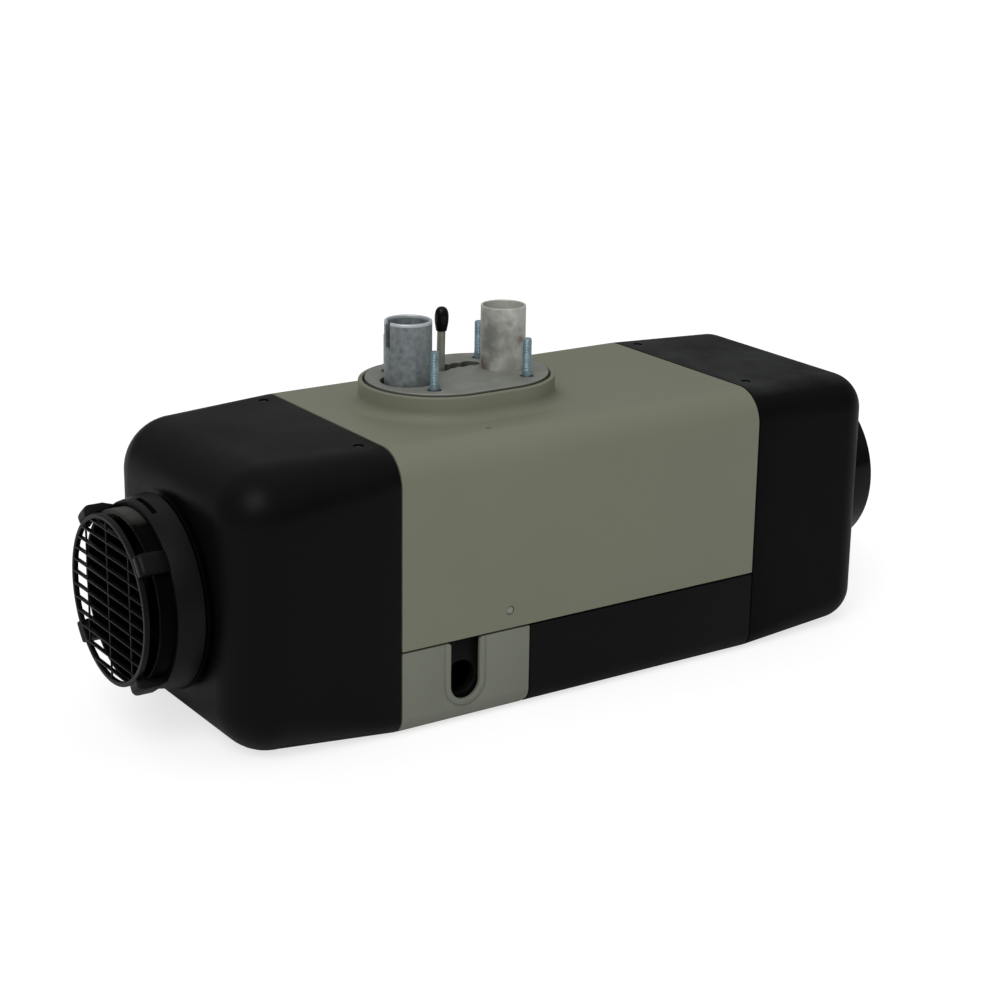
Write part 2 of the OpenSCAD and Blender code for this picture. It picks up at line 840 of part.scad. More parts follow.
// Combustion air blower
module blower_housing() {
    color("#a8abab") difference() {
        union() {
            core_disc(housing_x, housing_len, housing_r);
            for (k = [0:3])
                around(45 + 90 * k) translate([cover_x - boss_len, 0, bolt_circle_r])
                    rotate([0, 90, 0]) cylinder(h = boss_len - snug, r = boss_r);
            at_stub(air_x) translate([0, 0, axis_z + housing_r - 2 * housing_wall])
                cylinder(h = neck_z - axis_z - housing_r + 2 * housing_wall, r = air_neck_r);
        }
        core_disc(cavity_x, housing_len, housing_r - housing_wall);
        core_disc(housing_x - cut, bearing_w + cut, bearing_r);
        core_disc(housing_x, front_wall + cut, shaft_r + 2 * bearing_ledge);
        for (k = [0:2])
            around(30 + 120 * k) translate([housing_x - cut, 0, motor_screw_circle])
                rotate([0, 90, 0]) cylinder(h = motor_screw_len + cut, r = screw_r + snug);
        bolt_holes(cover_x - boss_len - cut, boss_len + 2 * cut, bolt_r + snug);
        bolt_holes(housing_x - cut, screw_seat_x - housing_x + cut, bolt_head_r + fit);
        at_stub(air_x) {
            translate([0, 0, neck_z - stub_seat_depth])
                cylinder(h = stub_seat_depth + cut, r = air_stub_r + snug / 2);
            translate([0, 0, axis_z + impeller_r])
                cylinder(h = neck_z - axis_z - impeller_r, r = air_stub_r - stub_ledge);
        }
    }
}

module blower_cover() {
    color("#9b9e9e") difference() {
        core_ring(cover_x, cover_t, bolt_flange_r, cover_hole_r);
        bolt_holes(cover_x - cut, cover_t + 2 * cut, bolt_r + snug);
    }
}

module combustion_impeller() {
    color("#202224") difference() {
        union() {
            core_disc(impeller_x, impeller_disc, impeller_r);
            core_disc(impeller_x, impeller_t, impeller_hub_r);
            for (k = [0:impeller_vanes - 1])
                around(k * 360 / impeller_vanes)
                    translate([impeller_x + impeller_disc / 2, -vane_t / 2, impeller_r - vane_h])
                        cube([impeller_t - impeller_disc / 2, vane_t, vane_h - snug]);
        }
        core_disc(impeller_x - cut, impeller_t + 2 * cut, shaft_r);
    }
}

// Burner
module burner_gasket() {
    color("#6d6a62") difference() {
        core_ring(cover_x + cover_t, burner_gasket_t, bolt_flange_r, burner_tube_r);
        bolt_holes(cover_x, cover_t + 2 * burner_gasket_t, bolt_r + snug);
    }
}

module burner_head() {
    back_x = head_x + burner_t;
    color("#8a8d8e") difference() {
        union() {
            core_disc(head_x, burner_t, bolt_flange_r);
            core_ring(back_x - slab, spigot_ring_len + slab, flame_tube_r - tube_wall - snug,
                burner_tube_r + fit);
        }
        bolt_holes(head_x - cut, burner_t + 2 * cut, bolt_r + snug);
        for (k = [0:burner_holes - 1])
            around((k + 0.5) * 360 / burner_holes)
                translate([head_x - cut, 0, glow_pocket_at])
                    rotate([0, 90, 0]) cylinder(h = burner_t + 2 * cut, r = swirl_hole_r);
        around(glow_angle) {
            translate([head_x + burner_t / 2, 0, glow_pocket_at - glow_r])
                cylinder(h = bolt_flange_r, r = glow_r + snug);
            translate([head_x + glow_r, 0, glow_pocket_at])
                rotate([0, 90, 0]) cylinder(h = burner_t, r = glow_pocket_r);
        }
        on_pipe() translate([0, 0, axis_z + bolt_circle_r - pipe_r - flange_z])
            cylinder(h = flange_z, r = pipe_r + snug);
        on_pipe() translate([0, 0, axis_z + evaporator_r - 2 * pipe_r - flange_z])
            cylinder(h = flange_z - axis_z, r = fuel_bore_r);
        translate([pipe_x, pipe_y, axis_z + evaporator_r - 2 * pipe_r])
            rotate([0, 90, 0]) cylinder(h = burner_t, r = fuel_bore_r);
    }
}

module burner_tube() {
    back_x = head_x + burner_t;
    color("#77787a") difference() {
        core_ring(back_x, burner_tube_len, burner_tube_r, burner_tube_r - tube_wall);
        for (row = [2, 3], k = [0:burner_holes - 1])
            around((k + row / 2) * 360 / burner_holes)
                translate([back_x + row * burner_tube_len / 4, 0, burner_tube_r / 2])
                    cylinder(h = burner_tube_r, r = burner_hole_r);
    }
}

module fuel_evaporator() {
    color("#8d8470") core_disc(head_x + burner_t, evaporator_t, evaporator_r);
}

module flame_tube() {
    color("#8b8c90")
        core_ring(head_x + burner_t, flame_tube_len, flame_tube_r, flame_tube_r - tube_wall);
}

module glow_plug() {
    color("#bcbfc0") around(glow_angle) translate([head_x + burner_t / 2, 0, 0]) {
        translate([0, 0, glow_pocket_at - glow_r + fit])
            cylinder(h = bolt_flange_r - glow_pocket_at + glow_r, r = glow_r);
        translate([0, 0, bolt_flange_r + fit]) cylinder(h = glow_hex_len, r = glow_hex_r, $fn = 6);
    }
}

// Heat exchanger
module exchanger_gasket() {
    color("#6d6a62") difference() {
        core_ring(head_x + burner_t, exchanger_gasket_t, bolt_flange_r,
            exchanger_r - exchanger_wall);
        bolt_holes(head_x, 2 * burner_t, bolt_r + snug);
    }
}

module heat_exchanger() {
    in_r = exchanger_r - exchanger_wall;
    fin_x = exchanger_x + exchanger_flange_t;
    color("#9fa2a1") difference() {
        union() {
            shaft_turn() polygon([
                [in_r, exchanger_x], [bolt_flange_r, exchanger_x],
                [bolt_flange_r, fin_x], [exchanger_r, fin_x],
                [exchanger_r, exchanger_end_x - exchanger_edge],
                [exchanger_r - exchanger_edge, exchanger_end_x], [0, exchanger_end_x],
                [0, exchanger_end_x - exchanger_cap],
                [in_r - exchanger_edge / 2, exchanger_end_x - exchanger_cap],
                [in_r, exchanger_end_x - exchanger_cap - exchanger_edge / 2]]);
            for (k = [1:fin_count - 1])
                around(k * 360 / fin_count)
                    translate([fin_x - cut, -fin_t / 2, exchanger_r - exchanger_wall / 2])
                        cube([exchanger_end_x - exchanger_edge - fin_x, fin_t,
                            fin_tip_r - exchanger_r + exchanger_wall / 2]);
            at_stub(exhaust_x) translate([0, 0, axis_z + in_r + exchanger_wall / 2])
                cylinder(h = neck_z - axis_z - in_r - exchanger_wall / 2, r = exhaust_neck_r);
            for (x = foot_places)
                translate([x - foot_w / 2, -foot_span / 2, shell_wall + pad_t])
                    cube([foot_w, foot_span, axis_z - exchanger_r - shell_wall - pad_t + foot_w]);
            translate([sensor_x - sensor_pad_w / 2, -sensor_pad_w / 2, axis_z + in_r])
                cube([sensor_pad_w, sensor_pad_w, exchanger_wall + sensor_pad_h]);
        }
        core_disc(exchanger_x - cut, exchanger_len - exchanger_edge - exchanger_cap, in_r);
        bolt_holes(exchanger_x - cut, bolt_reach + cut, bolt_r + snug);
        at_stub(exhaust_x) translate([0, 0, axis_z + in_r / 2])
            cylinder(h = neck_z - axis_z, r = exhaust_bore_r);
    }
}

module housing_screws() {
    color("#7d8183") {
        bolt_holes(screw_seat_x - bolt_head, bolt_head, bolt_head_r);
        bolt_holes(screw_seat_x, exchanger_x + bolt_reach - fit - screw_seat_x, bolt_r);
    }
}

module support_pads() {
    color("#1a1a1a")
        for (x = foot_places, side = [-1, 1])
            translate([x - pad_len / 2, side * (foot_span - pad_w) / 2 - pad_w / 2, shell_wall])
                cube([pad_len, pad_w, pad_t]);
}

sensor_z = axis_z + exchanger_r + sensor_pad_h;

module overheat_sensor() {
    color("#c9c2ae") translate([sensor_x, 0, sensor_z]) cylinder(h = sensor_h, r = sensor_r);
}

module sensor_clip() {
    reach = sensor_r + clip_t + snug;
    color("#b9bcbd") {
        translate([sensor_x - clip_w / 2, -reach, sensor_z + sensor_h])
            cube([clip_w, 2 * reach, clip_t]);
        for (side = [-1, 1]) {
            translate([sensor_x - clip_w / 2, side * (reach - clip_t / 2) - clip_t / 2, sensor_z])
                cube([clip_w, clip_t, sensor_h + clip_t / 2]);
            translate([sensor_x - clip_w / 2, side * (reach + clip_leg / 2 - clip_t)
                - clip_leg / 2, sensor_z])
                cube([clip_w, clip_leg, clip_t]);
        }
    }
}

// Flange
module flange_gasket() {
    color("#5b5b57") translate([0, 0, neck_z]) linear_extrude(gasket_t) difference() {
        stadium(plate_r - gasket_t);
        translate([air_x, 0]) circle(air_stub_r + fit);
        translate([exhaust_x, 0]) circle(exhaust_bore_r);
        translate([pipe_x, pipe_y]) circle(pipe_hole_r);
    }
}

module flange_plate() {
    color("#9fa2a4") difference() {
        translate([0, 0, plate_z]) linear_extrude(plate_t) difference() {
            stadium(plate_r);
            translate([air_x, 0]) circle(air_stub_r + air_hole_gap);
            translate([exhaust_x, 0]) circle(exhaust_bore_r);
            translate([pipe_x, pipe_y]) circle(pipe_hole_r);
        }
        translate([exhaust_x, 0, flange_z - stub_socket_depth])
            cylinder(h = stub_socket_depth + cut, r = exhaust_stub_r + snug / 2);
        at_studs() {
            translate([0, 0, plate_z + stud_seat])
                cylinder(h = plate_t, r = stud_neck_r + snug / 2);
            translate([0, 0, flange_z - stud_well]) cylinder(h = plate_t, r = stud_well_r);
        }
        for (k = [0:2])
            translate([pipe_x + pocket_from_pipe + k * pocket_step, pocket_y,
                flange_z - pocket_depth])
                cylinder(h = pocket_depth + cut, r = pocket_r);
    }
}

module flange_studs() {
    color("#9fb4bf") at_studs() {
        translate([0, 0, plate_z + stud_seat])
            cylinder(h = plate_t - stud_seat + stud_h / 2, r = stud_neck_r);
        translate([0, 0, flange_z]) cylinder(h = stud_h, r = stud_r);
    }
}

// Narrow neck round a stub or pipe, at its foot or just below the cap
module root_groove(low, high, r, step) {
    translate([0, 0, low]) difference() {
        cylinder(h = high - low, r = r + cut);
        translate([0, 0, -cut]) cylinder(h = high - low + 2 * cut, r = r - step);
    }
}

module air_stub() {
    base_z = neck_z - stub_seat_depth;
    top_z = flange_z + air_stub_h;
    color("#9aa3a8") difference() {
        at_stub(air_x) translate([0, 0, base_z]) cylinder(h = top_z - base_z, r = air_stub_r);
        at_stub(air_x) translate([0, 0, base_z - cut])
            cylinder(h = top_z - base_z + 2 * cut, r = air_stub_r - air_stub_wall);
        at_stub(air_x)
            root_groove(flange_z - slab, flange_z + root_rise, air_stub_r, stub_root_step);
        translate([air_x - 2 * air_stub_r, -slit_w / 2, top_z - slit_depth])
            cube([2 * air_stub_r, slit_w, slit_depth + cut]);
    }
}

module exhaust_stub() {
    base_z = flange_z - stub_socket_depth;
    color("#b5b5ad") at_stub(exhaust_x) difference() {
        translate([0, 0, base_z])
            cylinder(h = stub_socket_depth + exhaust_stub_h, r = exhaust_stub_r);
        translate([0, 0, base_z - cut]) cylinder(
            h = stub_socket_depth + exhaust_stub_h + 2 * cut,
            r = exhaust_stub_r - exhaust_stub_wall);
        root_groove(flange_z - slab, flange_z + root_rise, exhaust_stub_r, stub_root_step);
    }
}

// Fuel pipe, and the rubber cap that pulls off it
cap_base_h = cap_top_h - cap_len;
cap_crown_share = 0.6;
pipe_top_h = cap_top_h - pipe_r - fit;
pipe_foot_h = axis_z + bolt_circle_r - pipe_r - flange_z;
pipe_waist_top = cap_base_h - pipe_waist_gap;

module fuel_pipe() {
    color("#8a8578") on_pipe() difference() {
        translate([0, 0, pipe_foot_h]) cylinder(h = pipe_top_h - pipe_foot_h, r = pipe_r);
        translate([0, 0, pipe_foot_h - cut])
            cylinder(h = pipe_top_h - pipe_foot_h + 2 * cut, r = pipe_r - pipe_wall);
        root_groove(-slab, root_rise, pipe_r, pipe_root_step);
        root_groove(pipe_waist_top - pipe_waist_len, pipe_waist_top, pipe_r, pipe_root_step);
    }
}

module fuel_pipe_cap() {
    crown = cap_crown_share * cap_r;
    color("#161616") on_pipe() difference() {
        rotate_extrude() intersection() {
            union() {
                translate([0, cap_base_h]) square([cap_r, cap_len - crown]);
                translate([0, cap_top_h - crown]) square([cap_r - crown, crown]);
                translate([cap_r - crown, cap_top_h - crown]) circle(crown);
            }
            translate([0, cap_base_h]) square([cap_r, cap_len]);
        }
        translate([0, 0, cap_base_h - cut])
            cylinder(h = pipe_top_h + fit - cap_base_h + cut, r = pipe_r + shaft_play);
    }
}

// Jacket
module collar_foot() {
    difference() {
        translate([-collar_root, -collar_root]) square(collar_foot_r + collar_root);
        translate([collar_foot_r, collar_foot_r]) circle(collar_foot_r);
    }
}

module collar_feet() {
    translate([0, 0, body_h]) {
        for (side = [-1, 1]) {
            translate([flange_x + side * collar_c / 2, 0, 0]) rotate([0, 0, -side * 90])
                rotate_extrude(angle = 180) translate([collar_r, 0]) collar_foot();
            translate([flange_x - collar_c / 2, side * collar_r, 0])
                rotate([90, 0, 90]) linear_extrude(collar_c)
                    mirror([side > 0 ? 0 : 1, 0]) collar_foot();
        }
    }
}

// Lips of a shell that enter both hoods, as rings of the body's outline
module lips() {
    for (x = [seam_x - lip_len, seam2_x - lip_root])
        along_x(x, lip_len + lip_root) difference() {
            rounded_outline(lip_inset, lip_top_r, lip_bottom_r);
            rounded_outline(lip_inset + lip_wall, lip_top_r - lip_wall, lip_bottom_r - lip_wall);
        }
    for (x = [seam_x + seam_gap, seam2_x - lip_root])
        along_x(x, lip_root - seam_gap) difference() {
            body_outline(shell_wall / 2);
            rounded_outline(lip_inset + lip_wall, lip_top_r - lip_wall, lip_bottom_r - lip_wall);
        }
}

module slice_z(z0, z1) {
    intersection() {
        children();
        translate([front_x, -body_w, z0]) cube([total_len, 2 * body_w, z1 - z0]);
    }
}

module jacket_upper() {
    color("#6f7163") difference() {
        union() {
            slice_z(split_z, 2 * body_h) union() {
                along_x(seam_x + seam_gap, jacket_len - 2 * seam_gap) difference() {
                    body_outline(0);
                    body_outline(shell_wall);
                }
                lips();
            }
            translate([0, 0, body_h - shell_wall]) linear_extrude(rim_z - body_h + shell_wall)
                stadium(collar_r);
            collar_feet();
        }
        translate([0, 0, body_h - 2 * shell_wall]) linear_extrude(flange_rise + 2 * shell_wall)
            stadium(collar_r - collar_wall);
        at_hood_screws(seam_x - hood_screw_x) translate([0, 0, axis_z])
            cylinder(h = axis_z, r = hood_screw_r + snug);
        at_hood_screws(seam2_x + hood_screw_x) translate([0, 0, axis_z])
            cylinder(h = axis_z, r = hood_screw_r + snug);
        translate([plug_x, -half_w - cut, split_z + plug_above_split]) rotate([-90, 0, 0])
            cylinder(h = 2 * shell_wall, r = plug_r + plug_gap);
        translate([dimple_x, -dimple_y, body_h - dimple_depth])
            cylinder(h = dimple_depth + cut, r = dimple_r);
    }
}

module jacket_plug() {
    color("#b9bab2") translate([plug_x, plug_recess - half_w, split_z + plug_above_split])
        rotate([-90, 0, 0]) {
        cylinder(h = plug_depth, r = plug_r);
        translate([0, 0, shell_wall - plug_recess])
            cylinder(h = plug_flange, r = plug_r + plug_flange);
    }
}

lower_top_z = split_z - split_gap;

module split_rail() {
    rail_y = half_w - shell_wall - fit - lip_wall;
    for (side = [-1, 1])
        translate([seam_x + lip_root + fit, side * (rail_y + lip_wall / 2) - lip_wall / 2,
            lower_top_z - split_lip])
            cube([jacket_len - 2 * lip_root - 2 * fit, lip_wall, 2 * split_lip]);
    for (side = [-1, 1])
        translate([seam_x + lip_root + fit, side * (half_w - shell_wall) - lip_wall,
            lower_top_z - split_lip])
            cube([jacket_len - 2 * lip_root - 2 * fit, 2 * lip_wall, split_lip / 2]);
}

module jacket_lower() {
    port_x1 = cover_x1 + seam_gap;
    wall_x0 = seam_x + seam_gap;
    color("#242628") difference() {
        union() {
            difference() {
                slice_z(-cut, lower_top_z) union() {
                    along_x(seam_x + seam_gap, jacket_len - 2 * seam_gap) difference() {
                        body_outline(0);
                        body_outline(shell_wall);
                    }
                    lips();
                }
                translate([wall_x0 - cut, -half_w - cut, -cut])
                    cube([port_x1 - wall_x0 + cut, bottom_r + seam_gap + cut, split_z + cut]);
            }
            difference() {
                split_rail();
                translate([wall_x0 - cut, -half_w - cut, -cut])
                    cube([port_x1 - wall_x0 + cut, port_depth + snug + cut, body_h]);
            }
            translate([wall_x0, port_wall_y, port_wall_z])
                cube([port_x1 - wall_x0 + shell_wall, shell_wall, lower_top_z - port_wall_z]);
            translate([wall_x0, port_wall_y, port_wall_z])
                cube([port_x1 - wall_x0 + shell_wall, 2 * port_ledge, shell_wall]);
            translate([wall_x0, port_wall_y + 2 * port_ledge - shell_wall, 0])
                cube([port_x1 - wall_x0, shell_wall, port_wall_z + shell_wall]);
            translate([port_x1, -half_w + shell_wall / 2, bottom_r])
                cube([shell_wall, port_depth, lower_top_z - bottom_r]);
        }
        translate([seam_x + port_x - grommet_w / 2 + window_in, -half_w, window_z])
            cube([grommet_w - 2 * window_in, 2 * port_depth, body_h]);
    }
}

module cable_port_cover() {
    x0 = seam_x + seam_gap;
    x1 = cover_x1;
    slot_r = port_slot_w / 2;
    slot_z = port_slot_z + slot_r;
    cx = seam_x + port_x;
    color("#6a6c62") difference() {
        union() {
            intersection() {
                along_x(x0, x1 - x0) difference() {
                    body_outline(0);
                    body_outline(shell_wall);
                }
                translate([0, cover_y, 0]) rotate([90, 0, 0]) linear_extrude(2 * bottom_r) {
                    translate([x0, 0]) square([x1 - x0 - cover_corner_r, lower_top_z]);
                    translate([x0, cover_corner_r])
                        square([x1 - x0, lower_top_z - cover_corner_r]);
                    translate([x1 - cover_corner_r, cover_corner_r]) circle(cover_corner_r);
                }
            }
            for (x = [x0 + cover_pad_in, x1 - cover_pad_in - cover_pad], share = cover_pad_shares)
                translate([x, -half_w + shell_wall / 2, share * lower_top_z])
                    cube([cover_pad, port_depth - fit - shell_wall / 2, cover_pad]);
        }
        translate([0, cover_y, 0]) rotate([90, 0, 0]) linear_extrude(2 * bottom_r) {
            translate([cx, slot_z]) circle(slot_r);
            translate([cx - slot_r, slot_z]) square([port_slot_w, body_h]);
            difference() {
                translate([cx - slot_r - slot_flare, lower_top_z - slot_flare - snug])
                    square([port_slot_w + 2 * slot_flare, body_h]);
                for (side = [-1, 1])
                    translate([cx + side * (slot_r + slot_flare), lower_top_z - slot_flare - snug])
                        circle(slot_flare);
            }
        }
        translate([0, groove_depth - half_w, 0]) rotate([90, 0, 0])
            linear_extrude(2 * groove_depth) difference() {
                union() {
                    translate([cx, slot_z]) circle(slot_r + groove_in + groove_w);
                    translate([cx - slot_r - groove_in - groove_w, slot_z])
                        square([port_slot_w + 2 * groove_in + 2 * groove_w, body_h]);
                }
                translate([cx, slot_z]) circle(slot_r + groove_in);
                translate([cx - slot_r - groove_in, slot_z - cut])
                    square([port_slot_w + 2 * groove_in, body_h]);
            }
    }
}

module cable_grommet() {
    z0 = window_z + fit;
    inner_w = grommet_w - 2 * window_in - 2 * fit;
    cx = seam_x + port_x;
    color("#2b2d2f") difference() {
        union() {
            translate([cx - inner_w / 2, port_wall_y, z0])
                cube([inner_w, shell_wall, split_z - port_top_gap - z0]);
            translate([cx - grommet_w / 2, port_wall_y + shell_wall + snug, port_seat_z])
                cube([grommet_w, grommet_t, grommet_h]);
            translate([cx - inner_w / 2, port_wall_y, z0])
                cube([inner_w, shell_wall + grommet_t, grommet_h - 2 * window_in]);
        }
        translate([cx, port_wall_y - cut, port_hole_z]) rotate([-90, 0, 0])
            cylinder(h = shell_wall + grommet_t + 3 * cut, r = port_hole_r);
    }
}

// Outlet nozzle, held by a flange behind the hood's end wall
module outlet_nozzle() {
    in_x = end_x - shell_wall;
    lip = nozzle_wall / 2;
    color("#0d0e10") shaft_turn() {
        polygon([
            [nozzle_r - nozzle_wall, in_x - nozzle_wall],
            [nozzle_r + nozzle_wall, in_x - nozzle_wall],
            [nozzle_r + nozzle_wall, in_x], [nozzle_r - nozzle_root_step, in_x],
            [nozzle_r - nozzle_root_step, end_x + root_rise], [nozzle_r, end_x + root_rise],
            [nozzle_r, end_x + nozzle_len - lip],
            [nozzle_r - nozzle_wall, end_x + nozzle_len - lip]]);
        translate([nozzle_r - lip, end_x + nozzle_len - lip]) circle(lip);
    }
}

// Control unit
module control_case() {
    color("#1f2123") difference() {
        translate([unit_x, -unit_w / 2, shell_wall]) cube([unit_len, unit_w, unit_h - lid_t]);
        translate([unit_x + unit_wall, unit_wall - unit_w / 2, shell_wall + unit_wall])
            cube([unit_len - 2 * unit_wall, unit_w - 2 * unit_wall, unit_h]);
    }
}

module control_board() {
    inner_len = unit_len - 2 * unit_wall - 2 * fit;
    inner_w = unit_w - 2 * unit_wall - 2 * fit;
    base = shell_wall + unit_wall;
    color("#2f5a3c") {
        translate([unit_x + unit_wall + fit, -inner_w / 2, base + board_z])
            cube([inner_len, inner_w, board_t]);
        for (sx = board_post_shares, sy = board_side_shares)
            translate([unit_x + unit_wall + sx * inner_len, sy * inner_w, base])
                cylinder(h = board_z + board_t / 2, r = unit_wall);
        for (k = [0:chip_rows - 1])
            translate([unit_x + unit_wall + inner_len * chip_shares[0],
                (k - (chip_rows - 1) / 2) * chip_pitch_share * inner_w,
                base + board_z + board_t / 2])
                cube([inner_len * chip_shares[0], inner_w * chip_shares[1], unit_wall]);
    }
}

module control_lid() {
    color("#2a2c2e") translate([unit_x, -unit_w / 2, shell_wall + unit_h - lid_t])
        cube([unit_len, unit_w, lid_t]);
}

module control_socket() {
    color("#1f2123") difference() {
        translate([seam_x + port_x - socket_w / 2, -unit_w / 2 - socket_depth,
            shell_wall + unit_wall])
            cube([socket_w, socket_depth, socket_h]);
        translate([seam_x + port_x - socket_w / 2 + unit_wall, -unit_w / 2 - socket_depth - cut,
            shell_wall + 2 * unit_wall])
            cube([socket_w - 2 * unit_wall, socket_depth - unit_wall + cut,
                socket_h - 2 * unit_wall]);
    }
}

// Inner leads, swept along points of a smooth curve
function curve_at(p, t) =
    let (n = len(p) - 3, s = min(floor(t * n), n - 1), u = t * n - s,
        a = p[s], b = p[s + 1], c = p[s + 2], d = p[s + 3])
    0.5 * (2 * b + (c - a) * u + (2 * a - 5 * b + 4 * c - d) * u * u
        + (3 * b - a - 3 * c + d) * u * u * u);

module lead(points, r, steps) {
    ends = concat([2 * points[0] - points[1]], points,
        [2 * points[len(points) - 1] - points[len(points) - 2]]);
    path = [for (i = [0:steps]) curve_at(ends, i / steps)];
    dirs = [for (i = [0:steps])
        let (v = i == 0 ? ends[1] - ends[0]
            : i == steps ? ends[len(ends) - 1] - ends[len(ends) - 2]
            : path[i + 1] - path[i - 1]) v / norm(v)];
    rings = [for (i = [0:steps], k = [0:lead_sides - 1])
        let (side = cross(dirs[i], lead_across), a = side / norm(side),
            b = cross(dirs[i], a), q = 360 * k / lead_sides)
        path[i] + r * cos(q) * a + r * sin(q) * b];
    walls = [for (i = [0:steps - 1], k = [0:lead_sides - 1])
        let (m = (k + 1) % lead_sides, low = i * lead_sides, up = low + lead_sides)
        [low + k, up + k, up + m, low + m]];
    polyhedron(rings, concat(walls, [[for (k = [0:lead_sides - 1]) k]],
        [[for (k = [lead_sides - 1:-1:0]) steps * lead_sides + k]]), convexity = 4);
}

lid_z = shell_wall + unit_h;
lead_x = unit_x + unit_lead_shares[0] * unit_len;
lead_y = unit_lead_shares[1] * unit_w;
glow_side_y = half_w - port_depth - shell_wall - thin_lead_r - fit;
sensor_side_y = (fin_tip_r + half_w - shell_wall - lip_wall - fit) / 2;
over_fins_z = (axis_z + fin_tip_r + body_h - shell_wall) / 2;

module motor_lead() {
    color("#3a3a3a") translate([motor_x + motor_lead_share * motor_len, 0, lid_z])
        cylinder(h = axis_z - motor_r - lid_z - fit, r = lead_r);
}

module glow_lead() {
    plug_top = bolt_flange_r + fit + glow_hex_len;
    out_y = -sin(glow_angle);
    out_z = cos(glow_angle);
    color("#7a2f2a") lead([
        [lead_x, -lead_y, lid_z],
        [lead_x, -lead_y, lid_z + 2 * lead_r],
        [lead_x, -lead_y - unit_w / 4, lid_z + 3 * lead_r],
        [lead_x + unit_len / 4, lead_r - glow_side_y, lid_z + unit_h],
        [pipe_x, -glow_side_y, axis_z],
        [pipe_x, (plug_top + 4 * lead_r) * out_y, axis_z + (plug_top + 4 * lead_r) * out_z],
        [pipe_x, (plug_top + 2 * lead_r) * out_y, axis_z + (plug_top + 2 * lead_r) * out_z],
        [pipe_x, plug_top * out_y, axis_z + plug_top * out_z]], thin_lead_r, glow_lead_steps);
}

module sensor_lead() {
    color("#3a3a3a") lead([
        [lead_x, lead_y, lid_z],
        [lead_x, lead_y, lid_z + 2 * lead_r],
        [lead_x, lead_y + unit_w / 4, lid_z + 3 * lead_r],
        [lead_x + unit_len / 4, sensor_side_y - 2 * lead_r, lid_z + unit_h],
        [exchanger_x, sensor_side_y - thin_lead_r / 2, axis_z],
        [exchanger_x + foot_in, sensor_side_y - exchanger_edge, axis_z + exchanger_r],
        [sensor_x - foot_in, fin_tip_r / 2, over_fins_z],
        [sensor_x - sensor_pad_w, sensor_r, over_fins_z],
        [sensor_x - sensor_pad_w / 2 - sensor_r, 0, sensor_z + sensor_h],
        [sensor_x - 2 * sensor_r, 0, sensor_z + sensor_h / 2],
        [sensor_x - sensor_r, 0, sensor_z + sensor_h / 2]], thin_lead_r, sensor_lead_steps);
}

intake_hood();
intake_collar();
guard_ring();
guard_grille();
air_guide();
fan_wheel();
motor_shaft();
shaft_clips();
motor_can();
motor_stator();
motor_rotor();
front_bearing();
rear_bearing();
motor_screws();
blower_housing();
blower_cover();
combustion_impeller();
burner_gasket();
burner_head();
burner_tube();
fuel_evaporator();
flame_tube();
glow_plug();
exchanger_gasket();
heat_exchanger();
housing_screws();
support_pads();
overheat_sensor();
sensor_clip();
flange_gasket();
flange_plate();
flange_studs();
air_stub();
exhaust_stub();
fuel_pipe();
fuel_pipe_cap();
jacket_upper();
jacket_lower();
cable_port_cover();
cable_grommet();
jacket_plug();
hood_screws();
outlet_hood();
outlet_nozzle();
control_case();
control_board();
control_lid();
control_socket();
motor_lead();
glow_lead();
sensor_lead();
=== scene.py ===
import json
import math
import bpy
import bmesh
from mathutils import Matrix, Vector


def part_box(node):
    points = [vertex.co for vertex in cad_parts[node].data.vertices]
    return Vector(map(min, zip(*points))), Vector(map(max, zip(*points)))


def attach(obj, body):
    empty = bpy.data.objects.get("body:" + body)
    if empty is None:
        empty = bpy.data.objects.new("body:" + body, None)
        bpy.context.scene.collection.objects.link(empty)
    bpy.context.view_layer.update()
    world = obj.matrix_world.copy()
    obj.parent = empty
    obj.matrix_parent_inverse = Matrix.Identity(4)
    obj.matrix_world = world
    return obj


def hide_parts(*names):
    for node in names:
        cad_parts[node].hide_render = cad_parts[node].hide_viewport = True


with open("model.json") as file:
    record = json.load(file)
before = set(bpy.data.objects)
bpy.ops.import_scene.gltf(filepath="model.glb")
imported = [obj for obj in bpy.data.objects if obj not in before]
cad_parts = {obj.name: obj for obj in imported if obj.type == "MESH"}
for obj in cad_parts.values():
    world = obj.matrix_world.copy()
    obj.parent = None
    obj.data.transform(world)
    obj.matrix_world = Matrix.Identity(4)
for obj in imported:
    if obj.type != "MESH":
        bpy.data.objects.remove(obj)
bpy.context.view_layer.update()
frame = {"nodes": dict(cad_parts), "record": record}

scene = bpy.context.scene
nodes = frame["nodes"]
mm = 0.001
print("frame loaded:", len(nodes), "nodes")

# Places that several pieces share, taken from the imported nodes
lowIntake, highIntake = (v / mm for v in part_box("intake_hood"))
lowOutlet, highOutlet = (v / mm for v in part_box("outlet_hood"))
lowAir, highAir = (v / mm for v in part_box("air_stub"))
lowExhaust, highExhaust = (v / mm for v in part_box("exhaust_stub"))
place = {
    "seamX": highIntake.x,  # intake hood to jacket
    "seam2X": lowOutlet.x,  # jacket to outlet hood
    "hoodX": lowIntake.x,
    "endX": highOutlet.x,
    "nozzleX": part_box("outlet_nozzle")[1].x / mm,
    "halfW": highIntake.y,
    "height": highIntake.z,
    "axisZ": highIntake.z / 2,
    "flangeZ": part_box("flange_plate")[1].z / mm,
    "airX": (lowAir.x + highAir.x) / 2,
    "exhaustX": (lowExhaust.x + highExhaust.x) / 2,
}


# Mesh helpers, all in millimetres

